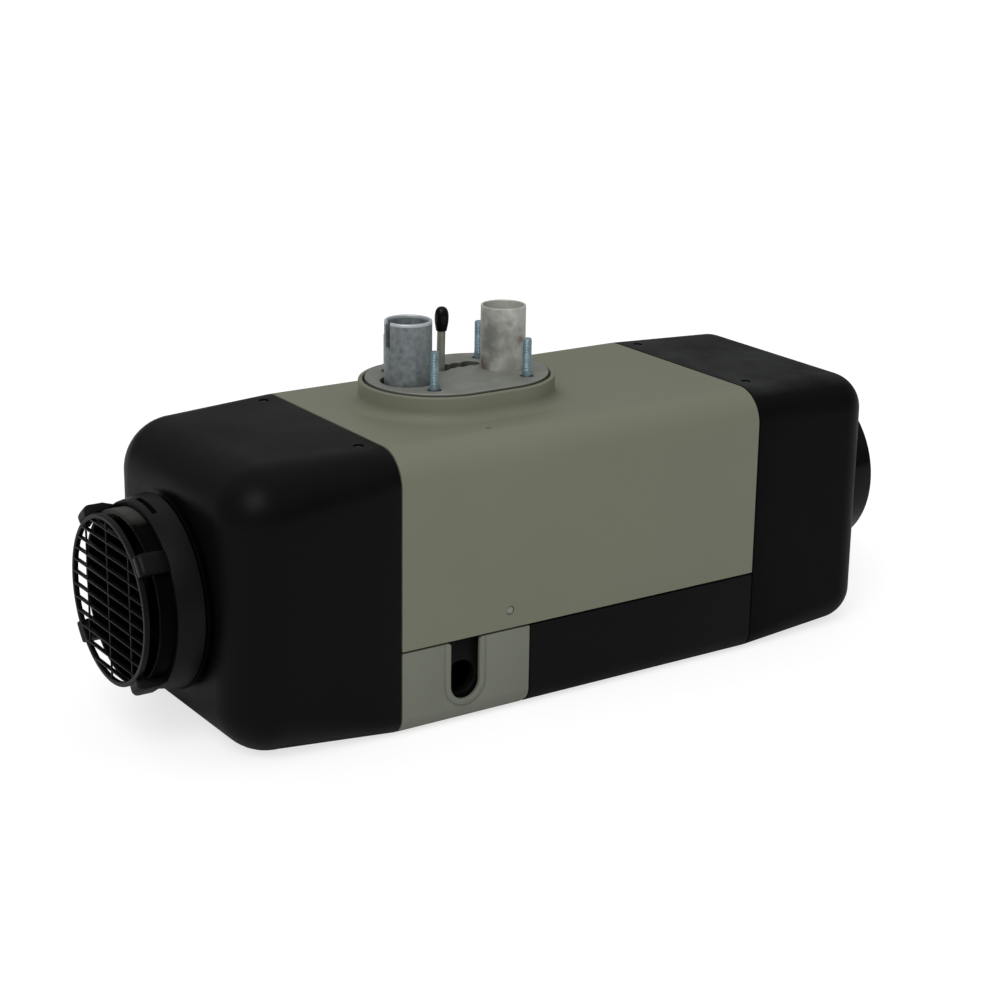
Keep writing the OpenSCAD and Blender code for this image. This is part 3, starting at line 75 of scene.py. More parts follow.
def arcCorner(before, corner, after, radius, steps):
    # a rounded corner of a 2D outline
    a = (Vector(before) - Vector(corner)).normalized()
    b = (Vector(after) - Vector(corner)).normalized()
    half = math.acos(max(-1, min(1, a.dot(b)))) / 2
    if radius <= 0 or half > math.pi / 2 - 0.02:
        return [Vector(corner)]
    centre = Vector(corner) + (a + b).normalized() * radius / math.sin(half)
    start = Vector(corner) + a * radius / math.tan(half) - centre
    end = Vector(corner) + b * radius / math.tan(half) - centre
    turn = start.angle_signed(end)
    points = []
    for i in range(steps + 1):
        c, s = math.cos(-turn * i / steps), math.sin(-turn * i / steps)
        points.append(centre + Vector((start.x * c - start.y * s, start.x * s + start.y * c)))
    return points


def roundedOutline(corners, steps=4):
    # corners are (x, y, radius)
    count = len(corners)
    points = []
    for i, (x, y, radius) in enumerate(corners):
        before, after = corners[i - 1], corners[(i + 1) % count]
        points += arcCorner(before[:2], (x, y), after[:2], radius, steps)
    return points


def skin(rings, closed=False):
    # faces between rings of the same length
    verts = [Vector(p) for ring in rings for p in ring]
    n, faces = len(rings[0]), []
    for i in range(len(rings) - (0 if closed else 1)):
        j = (i + 1) % len(rings)
        for k in range(n):
            m = (k + 1) % n
            faces.append((i * n + k, i * n + m, j * n + m, j * n + k))
    return verts, faces


def makeMesh(name, verts, faces, smooth=32):
    mesh = bpy.data.meshes.new(name)
    mesh.from_pydata([tuple(c * mm for c in v) for v in verts], [], faces)
    piece = bpy.data.objects.new(name, mesh)
    scene.collection.objects.link(piece)
    cleanMesh(mesh)
    shade(mesh, smooth)
    return piece


def cleanMesh(mesh, turn=True):
    bm = bmesh.new()
    bm.from_mesh(mesh)
    bmesh.ops.remove_doubles(bm, verts=bm.verts, dist=2e-6)
    bmesh.ops.dissolve_degenerate(bm, edges=bm.edges, dist=1e-7)
    if turn:
        bmesh.ops.recalc_face_normals(bm, faces=bm.faces)
    bm.to_mesh(mesh)
    bm.free()


def shade(mesh, angle):
    mesh.polygons.foreach_set("use_smooth", [True] * len(mesh.polygons))
    mesh.set_sharp_from_angle(angle=math.radians(angle))
    mesh.update()


def bake(piece, smooth=32):
    # the modifiers' result becomes the piece's own plain mesh
    graph = bpy.context.evaluated_depsgraph_get()
    mesh = bpy.data.meshes.new_from_object(piece.evaluated_get(graph), depsgraph=graph)
    piece.modifiers.clear()
    piece.data = mesh
    shade(mesh, smooth)
    return piece


def cutAway(piece, cutters, smooth=32):
    for cutter in cutters:
        m = piece.modifiers.new("cut", "BOOLEAN")
        m.operation, m.solver, m.object = "DIFFERENCE", "EXACT", cutter
    bake(piece, smooth)
    for cutter in cutters:
        bpy.data.objects.remove(cutter)
    cleanMesh(piece.data, turn=False)
    shade(piece.data, smooth)


def roundBar(name, start, axis, radius, length, steps=32):
    # a closed cylinder, used as a cutter
    axis = Vector(axis).normalized()
    side = axis.orthogonal().normalized()
    across = axis.cross(side)
    rings = []
    for along in (0, length):
        rings.append([Vector(start) + axis * along + side * radius * math.cos(a)
                      + across * radius * math.sin(a)
                      for a in (2 * math.pi * k / steps for k in range(steps))])
    verts, faces = skin(rings)
    faces += [tuple(range(steps)), tuple(range(2 * steps - 1, steps - 1, -1))]
    return makeMesh(name, verts, faces)


def turned(name, corners, spot, steps=96, arcSteps=4, smooth=32):
    # a closed profile of (radius, height, rounding) turned about an axis; spot places (r, h, angle)
    profile = roundedOutline(corners, arcSteps)
    rings = [[spot(p.x, p.y, 2 * math.pi * k / steps) for p in profile] for k in range(steps)]
    verts, faces = skin(rings, closed=True)
    return makeMesh(name, verts, faces, smooth)


def aboutShaft(r, h, a):
    return Vector((h, r * math.cos(a), place["axisZ"] + r * math.sin(a)))


def aboutUpright(x):
    return lambda r, h, a: Vector((x + r * math.cos(a), r * math.sin(a), h))


# Materials

def newMaterial(name):
    material = bpy.data.materials.new(name)
    material.use_nodes = True
    tree = material.node_tree
    tree.nodes.clear()
    shader = tree.nodes.new("ShaderNodeBsdfPrincipled")
    output = tree.nodes.new("ShaderNodeOutputMaterial")
    tree.links.new(shader.outputs[0], output.inputs[0])
    where = tree.nodes.new("ShaderNodeTexCoord")
    return material, tree, shader, where.outputs["Object"]


def linear(colour):
    # sRGB 0-255 to the shader's linear values
    made = [((c / 255 + 0.055) / 1.055) ** 2.4 if c > 10 else c / 255 / 12.92 for c in colour]
    return (*made, 1)


def noise(tree, where, scale, detail, roughness):
    node = tree.nodes.new("ShaderNodeTexNoise")
    node.inputs["Scale"].default_value = scale
    node.inputs["Detail"].default_value = detail
    node.inputs["Roughness"].default_value = roughness
    tree.links.new(where, node.inputs["Vector"])
    return node.outputs["Fac"]


def blendColours(tree, share, first, second):
    node = tree.nodes.new("ShaderNodeMix")
    node.data_type = "RGBA"
    tree.links.new(share, node.inputs["Factor"])
    for socket, colour in ((node.inputs[6], first), (node.inputs[7], second)):
        if isinstance(colour, tuple):
            socket.default_value = colour
        else:
            tree.links.new(colour, socket)
    return node.outputs[2]


def mapValue(tree, value, low, high, toLow, toHigh):
    node = tree.nodes.new("ShaderNodeMapRange")
    tree.links.new(value, node.inputs["Value"])
    for key, number in (("From Min", low), ("From Max", high), ("To Min", toLow), ("To Max", toHigh)):
        node.inputs[key].default_value = number
    return node.outputs[0]


def addBump(tree, shader, height, strength, distance):
    node = tree.nodes.new("ShaderNodeBump")
    node.inputs["Strength"].default_value = strength
    node.inputs["Distance"].default_value = distance
    tree.links.new(height, node.inputs["Height"])
    tree.links.new(node.outputs[0], shader.inputs["Normal"])


def speckled(name, base, spread, blotch, grain, grainBump, roughness, metallic=0.0,
             specular=0.5, roughSpread=0.08, dust=None, places=()):
    # a finish with soft blotches, fine grain in its colour and bump, and uneven gloss
    material, tree, shader, where = newMaterial(name)
    light = linear([c + spread for c in base])
    dark = linear([max(c - spread, 0) for c in base])
    patches = noise(tree, where, blotch, 4, 0.55)
    fine = noise(tree, where, grain, 3, 0.6)
    tone = blendColours(tree, mapValue(tree, patches, 0.3, 0.7, 0, 1), dark, light)
    both = blendColours(tree, mapValue(tree, fine, 0.35, 0.75, 0, 0.35), tone, light)
    if dust:
        # pale dust that lies in cloudy patches where the surface looks up
        geometry = tree.nodes.new("ShaderNodeNewGeometry")
        axes = tree.nodes.new("ShaderNodeSeparateXYZ")
        tree.links.new(geometry.outputs["Normal"], axes.inputs[0])
        upward = mapValue(tree, axes.outputs[2], 0.75, 0.99, 0, 1)
        cloud = mapValue(tree, noise(tree, where, 26, 4, 0.6), 0.35, 0.7, 0.15, 0.8)
        share = tree.nodes.new("ShaderNodeMath")
        share.operation = "MULTIPLY"
        tree.links.new(upward, share.inputs[0])
        tree.links.new(cloud, share.inputs[1])
        both = blendColours(tree, share.outputs[0], both, linear(dust))
    for kind, at, soft, colour in places:
        # a band or a spot of another colour, used for stains and for painted highlights and shade: at
        # is a height or a point, soft its fade, in mm
        axes = tree.nodes.new("ShaderNodeSeparateXYZ")
        tree.links.new(where, axes.inputs[0])
        if kind == "near":
            gap = tree.nodes.new("ShaderNodeVectorMath")
            gap.operation = "DISTANCE"
            tree.links.new(where, gap.inputs[0])
            gap.inputs[1].default_value = tuple(c * mm for c in at)
            wobble = mapValue(tree, patches, 0.3, 0.7, -0.25 * soft * mm, 0.25 * soft * mm)
            total = tree.nodes.new("ShaderNodeMath")
            tree.links.new(gap.outputs["Value"], total.inputs[0])
            tree.links.new(wobble, total.inputs[1])
            share = mapValue(tree, total.outputs[0], 0.2 * soft * mm, soft * mm, 0.8, 0)
        else:
            side = 1 if kind == "above" else -1
            share = mapValue(tree, axes.outputs[2], (at - side * soft) * mm, at * mm, 0, 1)
        both = blendColours(tree, share, both, linear(colour))
    tree.links.new(both, shader.inputs["Base Color"])
    tree.links.new(mapValue(tree, patches, 0.25, 0.75, roughness - roughSpread,
                            roughness + roughSpread), shader.inputs["Roughness"])
    shader.inputs["Metallic"].default_value = metallic
    shader.inputs["Specular IOR Level"].default_value = specular
    addBump(tree, shader, fine, 1.0, grainBump * mm)
    return material


finishes = {
    "jacketPaint": dict(base=(113, 115, 99), spread=1.5, blotch=14, grain=1400, grainBump=0.02,
                        roughness=0.5, specular=0.25),
    "hoodPlastic": dict(base=(7, 9, 7), spread=1, blotch=22, grain=1100, grainBump=0.05,
                        roughness=0.42, specular=0.065),
    "dustyPlastic": dict(base=(6, 7, 6), spread=1, blotch=22, grain=1100, grainBump=0.05,
                         roughness=0.5, specular=0.05, dust=(46, 48, 47)),
    "shellPlastic": dict(base=(12, 13, 12), spread=1, blotch=22, grain=1100, grainBump=0.05,
                         roughness=0.6, specular=0.08),
    "guardPlastic": dict(base=(10, 11, 10), spread=1, blotch=40, grain=1600, grainBump=0.02,
                         roughness=0.42, specular=0.1),
    # the collar's near-black base is painted shade inside the hood's opening, and the pale spot near
    # its top is a painted highlight
    "collarPaintedShadeAndLight": dict(base=(2, 2, 2), spread=1, blotch=40, grain=1600, grainBump=0.02,
                          roughness=0.5, specular=0.02,
                          places=[("near", (-218.5, 9, 117.5), 25, (78, 79, 75))]),
    "nozzlePlastic": dict(base=(5, 6, 7), spread=1, blotch=40, grain=1800, grainBump=0.01,
                          roughness=0.18, specular=0.1),
    "panelPaint": dict(base=(112, 115, 103), spread=1.5, blotch=18, grain=1400, grainBump=0.02,
                       roughness=0.5, specular=0.25),
    "capRubber": dict(base=(7, 8, 7), spread=1, blotch=60, grain=2200, grainBump=0.008,
                      roughness=0.28, specular=0.13),
    "grommetRubber": dict(base=(9, 10, 9), spread=1, blotch=60, grain=1500, grainBump=0.02,
                          roughness=0.6, specular=0.1),
    "plugPlastic": dict(base=(132, 132, 126), spread=4, blotch=300, grain=1500, grainBump=0.01,
                        roughness=0.45, specular=0.3),
    "blastedPlate": dict(base=(128, 130, 123), spread=7, blotch=120, grain=1500, grainBump=0.05,
                         roughness=0.6, metallic=0.4,
                         # the darker colour below the plate's top face is painted shade in its recess
                         # and on its sides
                         places=[("below", 161.4, 0.3, (80, 82, 76))]),
    "castStub": dict(base=(118, 125, 127), spread=20, blotch=330, grain=1300, grainBump=0.05,
                     roughness=0.48, metallic=0.5,
                     # the lighter band over the rim's top is a painted highlight
                     places=[("above", 193.0, 0.6, (188, 195, 198))]),
    "blastedSteel": dict(base=(184, 185, 177), spread=9, blotch=180, grain=1600, grainBump=0.04,
                         roughness=0.55, metallic=0.4,
                         # the first spot, a grey darkening over the stub's -X side, is painted shade
                         places=[("near", (-12.5, -5.0, 180.0), 22, (112, 114, 107)),
                                 ("near", (4.2, -11.4, 178.6), 3.2, (104, 84, 66)),
                                 ("near", (-11.4, 0.5, 163.0), 6.5, (104, 90, 70)),
                                 ("near", (-2.0, -12, 166.0), 5.0, (168, 166, 158))]),
    "zincSteel": dict(base=(132, 154, 162), spread=16, blotch=260, grain=1200, grainBump=0.01,
                      roughness=0.36, metallic=0.7),
    "fuelSteel": dict(base=(138, 140, 127), spread=10, blotch=160, grain=1300, grainBump=0.02,
                      roughness=0.5, metallic=0.45),
    "castAluminium": dict(base=(150, 152, 152), spread=10, blotch=70, grain=900, grainBump=0.05,
                          roughness=0.55, metallic=0.7),
    "brightSteel": dict(base=(150, 152, 154), spread=8, blotch=120, grain=1300, grainBump=0.01,
                        roughness=0.32, metallic=0.9),
    "burnerSteel": dict(base=(120, 108, 94), spread=14, blotch=60, grain=900, grainBump=0.03,
                        roughness=0.5, metallic=0.8),
    "copperWire": dict(base=(150, 88, 50), spread=12, blotch=200, grain=1500, grainBump=0.05,
                       roughness=0.4, metallic=0.8),
    "innerPlastic": dict(base=(26, 27, 28), spread=3, blotch=60, grain=1300, grainBump=0.02,
                         roughness=0.55, specular=0.3),
    "padRubber": dict(base=(32, 32, 32), spread=3, blotch=80, grain=1300, grainBump=0.03,
                      roughness=0.75, specular=0.3),
    "gasketFibre": dict(base=(96, 94, 88), spread=8, blotch=150, grain=1800, grainBump=0.05,
                        roughness=0.85, specular=0.2),
    "boardGreen": dict(base=(36, 84, 54), spread=6, blotch=100, grain=1500, grainBump=0.01,
                       roughness=0.4),
    "socketWhite": dict(base=(190, 190, 182), spread=4, blotch=100, grain=1300, grainBump=0.01,
                        roughness=0.5),
    "leadSleeve": dict(base=(40, 36, 36), spread=4, blotch=120, grain=1500, grainBump=0.01,
                       roughness=0.55, specular=0.3),
}
materials = {name: speckled(name, **values) for name, values in finishes.items()}
slotFinish = {
    "jacket_grey": "jacketPaint", "shell_black": "shellPlastic", "guard_black": "guardPlastic",
    "nozzle_black": "nozzlePlastic", "plate_grey": "blastedPlate",
    "cast_aluminium": "castAluminium", "air_stub_grey": "castStub",
    "exhaust_steel": "blastedSteel", "zinc_studs": "zincSteel", "fuel_steel": "fuelSteel",
    "steel": "brightSteel", "cap_rubber": "capRubber", "pad_rubber": "padRubber",
    "plug_grey": "plugPlastic", "inner_black": "innerPlastic", "winding_copper": "copperWire",
    "burner_steel": "burnerSteel", "gasket_grey": "gasketFibre", "board_green": "boardGreen",
    "socket_white": "socketWhite", "lead_dark": "leadSleeve",
}
nodeSlot = {part["node"]: part["material_slot"] for part in frame["record"]["subparts"]}
print("materials:", len(materials))


def finishPiece(piece, body, finish, replaced=()):
    piece.data.materials.clear()
    piece.data.materials.append(materials[finish])
    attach(piece, body)
    if replaced:
        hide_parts(*replaced)
    return piece


# Every CAD node first gets the finish of its slot
for name, node in nodes.items():
    node.data.materials.clear()
    node.data.materials.append(materials[slotFinish[nodeSlot[name]]])
print("finishes on the CAD nodes")


def eased(name, newName, finish, body="root", width=0.3, segments=2, smooth=40, limit=30):
    # a copy of a CAD node with merged faces and rounded edges
    mesh = nodes[name].data.copy()
    mesh.name = newName
    bm = bmesh.new()
    bm.from_mesh(mesh)
    bmesh.ops.remove_doubles(bm, verts=bm.verts, dist=3e-6)
    bmesh.ops.dissolve_limit(bm, angle_limit=math.radians(1), verts=bm.verts, edges=bm.edges)
    bm.to_mesh(mesh)
    bm.free()
    piece = bpy.data.objects.new(newName, mesh)
    scene.collection.objects.link(piece)
    if width:
        m = piece.modifiers.new("ease", "BEVEL")
        m.width, m.segments = width * mm, segments
        m.limit_method, m.angle_limit = "ANGLE", math.radians(limit)
        m.use_clamp_overlap = False
        m.harden_normals = False
    bake(piece, smooth)
    return finishPiece(piece, body, finish, (name,))


# Hoods: a tube with rounded corners, lofted from the seam to its rounded flat end
hoodShape = {
    "wall": 2.5, "topR": 18, "bottomR": 11, "arcSteps": 14, "endSteps": 18,
    "edgeEase": 0.45, "mouthEase": 0.6, "flatShare": 0.7,
    "intake": {"taper": 0.6, "opening": 44.3, "endR": 27.5},
    "outlet": {"taper": 2, "opening": 47.8, "endR": 20},
    "screwBack": 9.5, "screwY": 49, "recessR": 2.7, "recessDepth": 1.4, "cutLen": 6,
}


def hoodRing(kind, length, inset, depth=None, end=None):
    # one closed section: depth from the seam on the straight part, or end 0-1 round the end
    s = hoodShape
    n, taper, endR = s["arcSteps"], s[kind]["taper"], s[kind]["endR"]
    straight = length - endR
    t = 1 if depth is None else depth / straight
    e = 0 if end is None else (endR - inset) * math.sin(end * math.pi / 2)
    x = depth if depth is not None else straight + e
    half = place["halfW"] - taper * t - inset
    top, low = place["height"] - taper * t - inset, inset
    corners = []
    for r in (s["topR"], s["bottomR"]):
        r += (endR - r) * t - inset
        corners.append((r, math.sqrt(max(r * r - e * e, 0))))
    (topR, topArc), (lowR, lowArc) = corners
    turns = [math.pi / 2 * i / n for i in range(n + 1)]
    upper = [(x, half - topR + topArc * math.cos(a), top - topR + topArc * math.sin(a)) for a in turns]
    lower = [(x, half - lowR + lowArc * math.cos(a), low + lowR - lowArc * math.sin(a))
             for a in reversed(turns)]
    mirror = lambda points: [(x, -y, z) for x, y, z in reversed(points)]
    return upper + mirror(upper) + mirror(lower) + lower


def hoodMouth(ring, radius, x):
    # the opening's circle, one point for each point of the end section
    centre = place["axisZ"]
    made = []
    for p in ring:
        a = math.atan2(p[2] - centre, p[1])
        made.append((x, radius * math.cos(a), centre + radius * math.sin(a)))
    return made


def makeHood(name, kind, fromX, side, length):
    s = hoodShape
    opening, endR = s[kind]["opening"], s[kind]["endR"]
    ease, wall = s["edgeEase"], s["wall"]
    straight = length - endR
    rings = [hoodRing(kind, length, wall, depth=0)]
    for k in range(4):
        a = math.pi / 2 * k / 3
        rings.append(hoodRing(kind, length, ease * (1 - math.sin(a)), depth=ease * (1 - math.cos(a))))
    for k in range(1, 5):
        rings.append(hoodRing(kind, length, 0, depth=ease + (straight - ease) * k / 5))
    for k in range(s["endSteps"] + 1):
        rings.append(hoodRing(kind, length, 0, end=k / s["endSteps"]))
    outer = rings[-1]
    rings.append([tuple(Vector(p).lerp(Vector(q), s["flatShare"]))
                  for p, q in zip(outer, hoodMouth(outer, opening, length))])
    mouth = s["mouthEase"]
    for k in range(5):
        a = math.pi / 2 * k / 4
        rings.append(hoodMouth(outer, opening + mouth * (1 - math.sin(a)),
                               length - mouth * (1 - math.cos(a))))
    inner = [hoodRing(kind, length, wall, end=k / s["endSteps"]) for k in range(s["endSteps"] + 1)]
    rings.append(hoodMouth(outer, opening, length - wall))
    rings += reversed(inner)
    rings.append(hoodRing(kind, length, wall, depth=straight / 2))
    rings = [[(fromX + side * p[0], p[1], p[2]) for p in ring] for ring in rings]
    verts, faces = skin(rings, closed=True)
    hood = makeMesh(name, verts, faces, 34)
    top = place["height"] - s[kind]["taper"] * s["screwBack"] / straight
    cutters = [roundBar("cutter", (fromX + side * s["screwBack"], y, top - s["recessDepth"]),
                        (0, 0, 1), s["recessR"], s["cutLen"]) for y in (-s["screwY"], s["screwY"])]
    cutAway(hood, cutters, 34)
    return hood


intakeHood = makeHood("intakeHood", "intake", place["seamX"], -1, place["seamX"] - place["hoodX"])
finishPiece(intakeHood, "root", "hoodPlastic", ("intake_hood",))
outletHood = makeHood("outletHood", "outlet", place["seam2X"], 1, place["endX"] - place["seam2X"])
finishPiece(outletHood, "root", "dustyPlastic", ("outlet_hood",))
print("hoods made")

# Upper jacket: a bent sheet with the raised oval collar round the flange plate
jacketShape = {
    "seamGap": 0.7, "splitZ": 46, "wall": 2.5, "cornerR": 18, "edge": 0.4,
    "flangeX": -28.1, "collarC": 25.6, "collarR": 41, "collarWall": 2.3, "footR": 6,
    "rimEase": 0.9, "innerEase": 0.4, "rimZ": 161,
    "lipInset": 3.6, "lipLen": 14, "lipWall": 2, "lipRoot": 8,
    "plugX": -42.2, "plugZ": 55.5, "plugHole": 2.4, "plugBefore": 2, "plugCut": 6,
    "dimpleX": -45, "dimpleY": -55.7, "dimpleR": 1.5, "dimpleDepth": 0.6, "dimpleCut": 4,
}


def jacketBand(inset, x, s=jacketShape, steps=12):
    # from the left lower edge over the top to the right lower edge
    half, top = place["halfW"] - inset, place["height"] - inset
    r = s["cornerR"] - inset
    points = [(x, -half, s["splitZ"])]
    for side in (-1, 1):
        for i in range(steps + 1):
            a = math.pi / 2 * (i if side < 0 else steps - i) / steps
            points.append((x, side * (half - r + r * math.cos(a)), top - r + r * math.sin(a)))
    points.append((x, half, s["splitZ"]))
    return points


def stadium(radius, z, s=jacketShape, steps=28):
    points = []
    for side in (1, -1):
        for i in range(steps + 1):
            a = math.pi * i / steps - math.pi / 2
            points.append((s["flangeX"] + side * (s["collarC"] / 2 + radius * math.cos(a)),
                           side * radius * math.sin(a), z))
    return points


def makeJacket():
    s = jacketShape
    x0, x1 = place["seamX"] + s["seamGap"], place["seam2X"] - s["seamGap"]
    edge, wall = s["edge"], s["wall"]
    stations = []
    for k in range(4):
        a = math.pi / 2 * k / 3
        stations.append((x0 + edge * (1 - math.cos(a)), edge * (1 - math.sin(a))))
    outside = stations + [(x0 + x1 - x, inset) for x, inset in reversed(stations)]
    rings = [jacketBand(inset, x) for x, inset in outside]
    rings += [jacketBand(wall, x1), jacketBand(wall, x0)]
    bm = bmesh.new()
    loops = [[bm.verts.new(Vector(p) * mm) for p in ring] for ring in rings]
    n = len(loops[0])
    flat = n // 2 - 1  # the segment that crosses the top
    for i, loop in enumerate(loops):
        after = loops[(i + 1) % len(loops)]
        for k in range(n - 1):
            if k == flat and i in (len(stations) - 1, len(loops) - 2):
                continue
            bm.faces.new((loop[k], loop[k + 1], after[k + 1], after[k]))
    bm.faces.new([loop[0] for loop in loops])
    bm.faces.new([loop[-1] for loop in reversed(loops)])
    # the collar from its hollow foot over the rim and down inside
    top = place["height"]
    collar = []
    for k in range(9):
        a = math.pi / 2 * k / 8
        collar.append((s["collarR"] + s["footR"] * (1 - math.sin(a)),
                       top + s["footR"] * (1 - math.cos(a))))
    ease = s["rimEase"]
    for k in range(6):
        a = math.pi / 2 * k / 5
        collar.append((s["collarR"] - ease * (1 - math.cos(a)), s["rimZ"] - ease * (1 - math.sin(a))))
    inside = s["collarR"] - s["collarWall"]
    for k in range(4):
        a = math.pi / 2 * k / 3
        collar.append((inside + s["innerEase"] * (1 - math.sin(a)),
                       s["rimZ"] - s["innerEase"] * (1 - math.cos(a))))
    collar.append((inside, top - s["wall"]))
    collarLoops = [[bm.verts.new(Vector(p) * mm) for p in stadium(r, z)] for r, z in collar]
    for low, high in zip(collarLoops, collarLoops[1:]):
        for k in range(len(low)):
            m = (k + 1) % len(low)
            bm.faces.new((low[k], low[m], high[m], high[k]))
    bm.edges.ensure_lookup_table()

    def fillRound(loopA, loopB, oval):
        border = [loopA[flat], loopA[flat + 1], loopB[flat + 1], loopB[flat]]
        edges = []
        for ring in (border, oval):
            for a, b in zip(ring, ring[1:] + ring[:1]):
                edges.append(bm.edges.get((a, b)) or bm.edges.new((a, b)))
        bmesh.ops.triangle_fill(bm, edges=edges, use_beauty=True)

    fillRound(loops[len(stations) - 1], loops[len(stations)], collarLoops[0])
    fillRound(loops[-1], loops[-2], collarLoops[-1])
    mesh = bpy.data.meshes.new("jacketUpper")
    bm.to_mesh(mesh)
    bm.free()
    cleanMesh(mesh)
    shade(mesh, 34)
    jacket = bpy.data.objects.new("jacketUpper", mesh)
    scene.collection.objects.link(jacket)
    cutters = [
        roundBar("cutter", (s["plugX"], -place["halfW"] - s["plugBefore"], s["plugZ"]), (0, 1, 0),
                 s["plugHole"], s["plugCut"]),
        roundBar("cutter", (s["dimpleX"], s["dimpleY"], top - s["dimpleDepth"]), (0, 0, 1),
                 s["dimpleR"], s["dimpleCut"]),
    ]
    cutAway(jacket, cutters, 34)
    return jacket


jacketUpper = makeJacket()
finishPiece(jacketUpper, "root", "jacketPaint", ("jacket_upper",))


def makeLips():
    # the bands of the jacket that reach into the hoods
    s = jacketShape
    outer, inner = s["lipInset"], s["lipInset"] + s["lipWall"]
    verts, faces = [], []
    for x0, x1 in ((place["seamX"] - s["lipLen"], place["seamX"] + s["lipRoot"]),
                   (place["seam2X"] - s["lipRoot"], place["seam2X"] + s["lipLen"])):
        rings = [jacketBand(inset, x)
                 for inset, x in ((outer, x0), (outer, x1), (inner, x1), (inner, x0))]
        base, n = len(verts), len(rings[0])
        for ring in rings:
            verts += [Vector(p) for p in ring]
        for i in range(4):
            j = (i + 1) % 4
            for k in range(n - 1):
                a, b = base + i * n + k, base + j * n + k
                faces.append((a, a + 1, b + 1, b))
        faces.append([base + i * n for i in range(4)])
        faces.append([base + i * n + n - 1 for i in reversed(range(4))])
    return makeMesh("jacketLips", verts, faces, 34)


finishPiece(makeLips(), "root", "innerPlastic")
print("jacket made")

# Shells and small parts that keep the CAD shape, with eased edges
eased("jacket_lower", "jacketLower", "shellPlastic", width=0.35)
eased("cable_port_cover", "portPanel", "panelPaint", width=0.35)
eased("cable_grommet", "cableGrommet", "grommetRubber", width=0.6, segments=3)
eased("flange_plate", "flangePlate", "blastedPlate", width=0.5, segments=3)
# this collar's finish carries painted shade and a painted highlight
eased("intake_collar", "intakeCollar", "collarPaintedShadeAndLight", width=0.3)
eased("hood_screws", "hoodScrews", "innerPlastic", width=0.15)
eased("jacket_plug", "jacketPlug", "plugPlastic", width=0.3)
print("eased parts made")

# Guard ring: a turned band with two slots, and four posts that carry the grille
guardShape = {
    "innerR": 44.3, "frontR": 47, "backR": 49.3, "back": 5.2, "length": 13.4, "edge": 0.5,
    "innerEdge": 0.2,
    "slotFrom": 83.7, "slotSpan": 24.2, "slotX": 14, "slotHalf": 1.3,
    "postFirst": 142, "postSpan": 13, "postSteps": 5, "postR": 48.8, "postDepth": 1,
    "postRound": 3, "postBlock": 10.5, "postEase": 0.45, "snug": 0.1, "slotCut": 2,
    "grilleR": 43.1, "grilleDepth": 2.6, "shelfIn": 2.7, "shelf": 2,
}


def sector(name, profile, fromAngle, span, steps):
    # a closed piece of ring swept through an angle, in degrees
    rings = [[aboutShaft(r, h, math.radians(fromAngle + span * k / steps)) for r, h in profile]
             for k in range(steps + 1)]
    verts, faces = skin(rings)
    last = steps * len(profile)
    faces += [tuple(range(len(profile))), tuple(range(last + len(profile) - 1, last - 1, -1))]
    return makeMesh(name, verts, faces)


def joined(pieces, smooth=32):
    # several closed pieces as one object, under the first one's name
    bm = bmesh.new()
    for piece in pieces:
        bm.from_mesh(piece.data)
    bm.to_mesh(pieces[0].data)
    bm.free()
    for piece in pieces[1:]:
        bpy.data.objects.remove(piece)
    shade(pieces[0].data, smooth)
    return pieces[0]


def makeGuard():
    s = guardShape
    backX = place["hoodX"] - s["back"]
    bandX, frontX = backX - s["length"], guardFrontX
    ring = turned("guardRing", [
        (s["innerR"], bandX, s["edge"]), (s["frontR"], bandX, s["edge"]),
        (s["backR"], backX, s["edge"]), (s["innerR"], backX, s["innerEdge"])], aboutShaft, 128, 3)
    slotX = place["hoodX"] - s["slotX"]
    lowR, highR, half = s["innerR"] - s["slotCut"], s["backR"] + s["slotCut"], s["slotHalf"]
    hole = [(lowR, slotX - half), (highR, slotX - half), (highR, slotX + half), (lowR, slotX + half)]
    cutAway(ring, [sector("cutter", hole, s["slotFrom"] + turn, s["slotSpan"], 8) for turn in (0, 180)])
    profile = [(s["innerR"] + s["snug"], bandX + s["postDepth"]),
               (s["frontR"] - s["snug"], bandX + s["postDepth"]), (s["postR"], frontX + s["postBlock"])]
    for k in range(7):
        q = math.pi / 2 * k / 6
        profile.append((s["postR"] - s["postRound"] * (1 - math.cos(q)),
                        frontX + s["postRound"] * (1 - math.sin(q))))
    shelfX = frontX + s["grilleDepth"]
    profile += [(s["grilleR"], frontX), (s["grilleR"], shelfX), (s["grilleR"] - s["shelfIn"], shelfX),
                (s["grilleR"] - s["shelfIn"], shelfX + s["shelf"]),
                (s["innerR"] + s["snug"], shelfX + 2 * s["shelf"])]
    posts = []
    for k in range(4):
        post = sector("post", profile, s["postFirst"] + 90 * k - s["postSpan"] / 2, s["postSpan"],
                      s["postSteps"])
        m = post.modifiers.new("ease", "BEVEL")
        m.width, m.segments, m.angle_limit = s["postEase"] * mm, 2, math.radians(40)
        posts.append(bake(post))
    return joined([ring] + posts)


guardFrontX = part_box("guard_ring")[0].x / mm
finishPiece(makeGuard(), "intake_guard", "guardPlastic", ("guard_ring",))
print("guard made")

# Stubs and fuel pipe, turned
stubShape = {
    "air": {"r": 12.4, "wall": 1.6, "low": 143, "high": 194.2, "footEase": 0.2, "rimEase": 0.7,
            "slitW": 4, "slitDepth": 15, "slitOver": 2},
    "exhaust": {"r": 12, "wall": 1.3, "low": 157, "high": 195.6, "footEase": 0.2, "rimEase": 0.6},
}


def makeStub(name, s, x):
    inside = s["r"] - s["wall"]
    return turned(name, [
        (inside, s["low"], s["footEase"]), (s["r"], s["low"], s["footEase"]),
        (s["r"], s["high"], s["rimEase"]), (inside, s["high"], s["rimEase"])], aboutUpright(x))


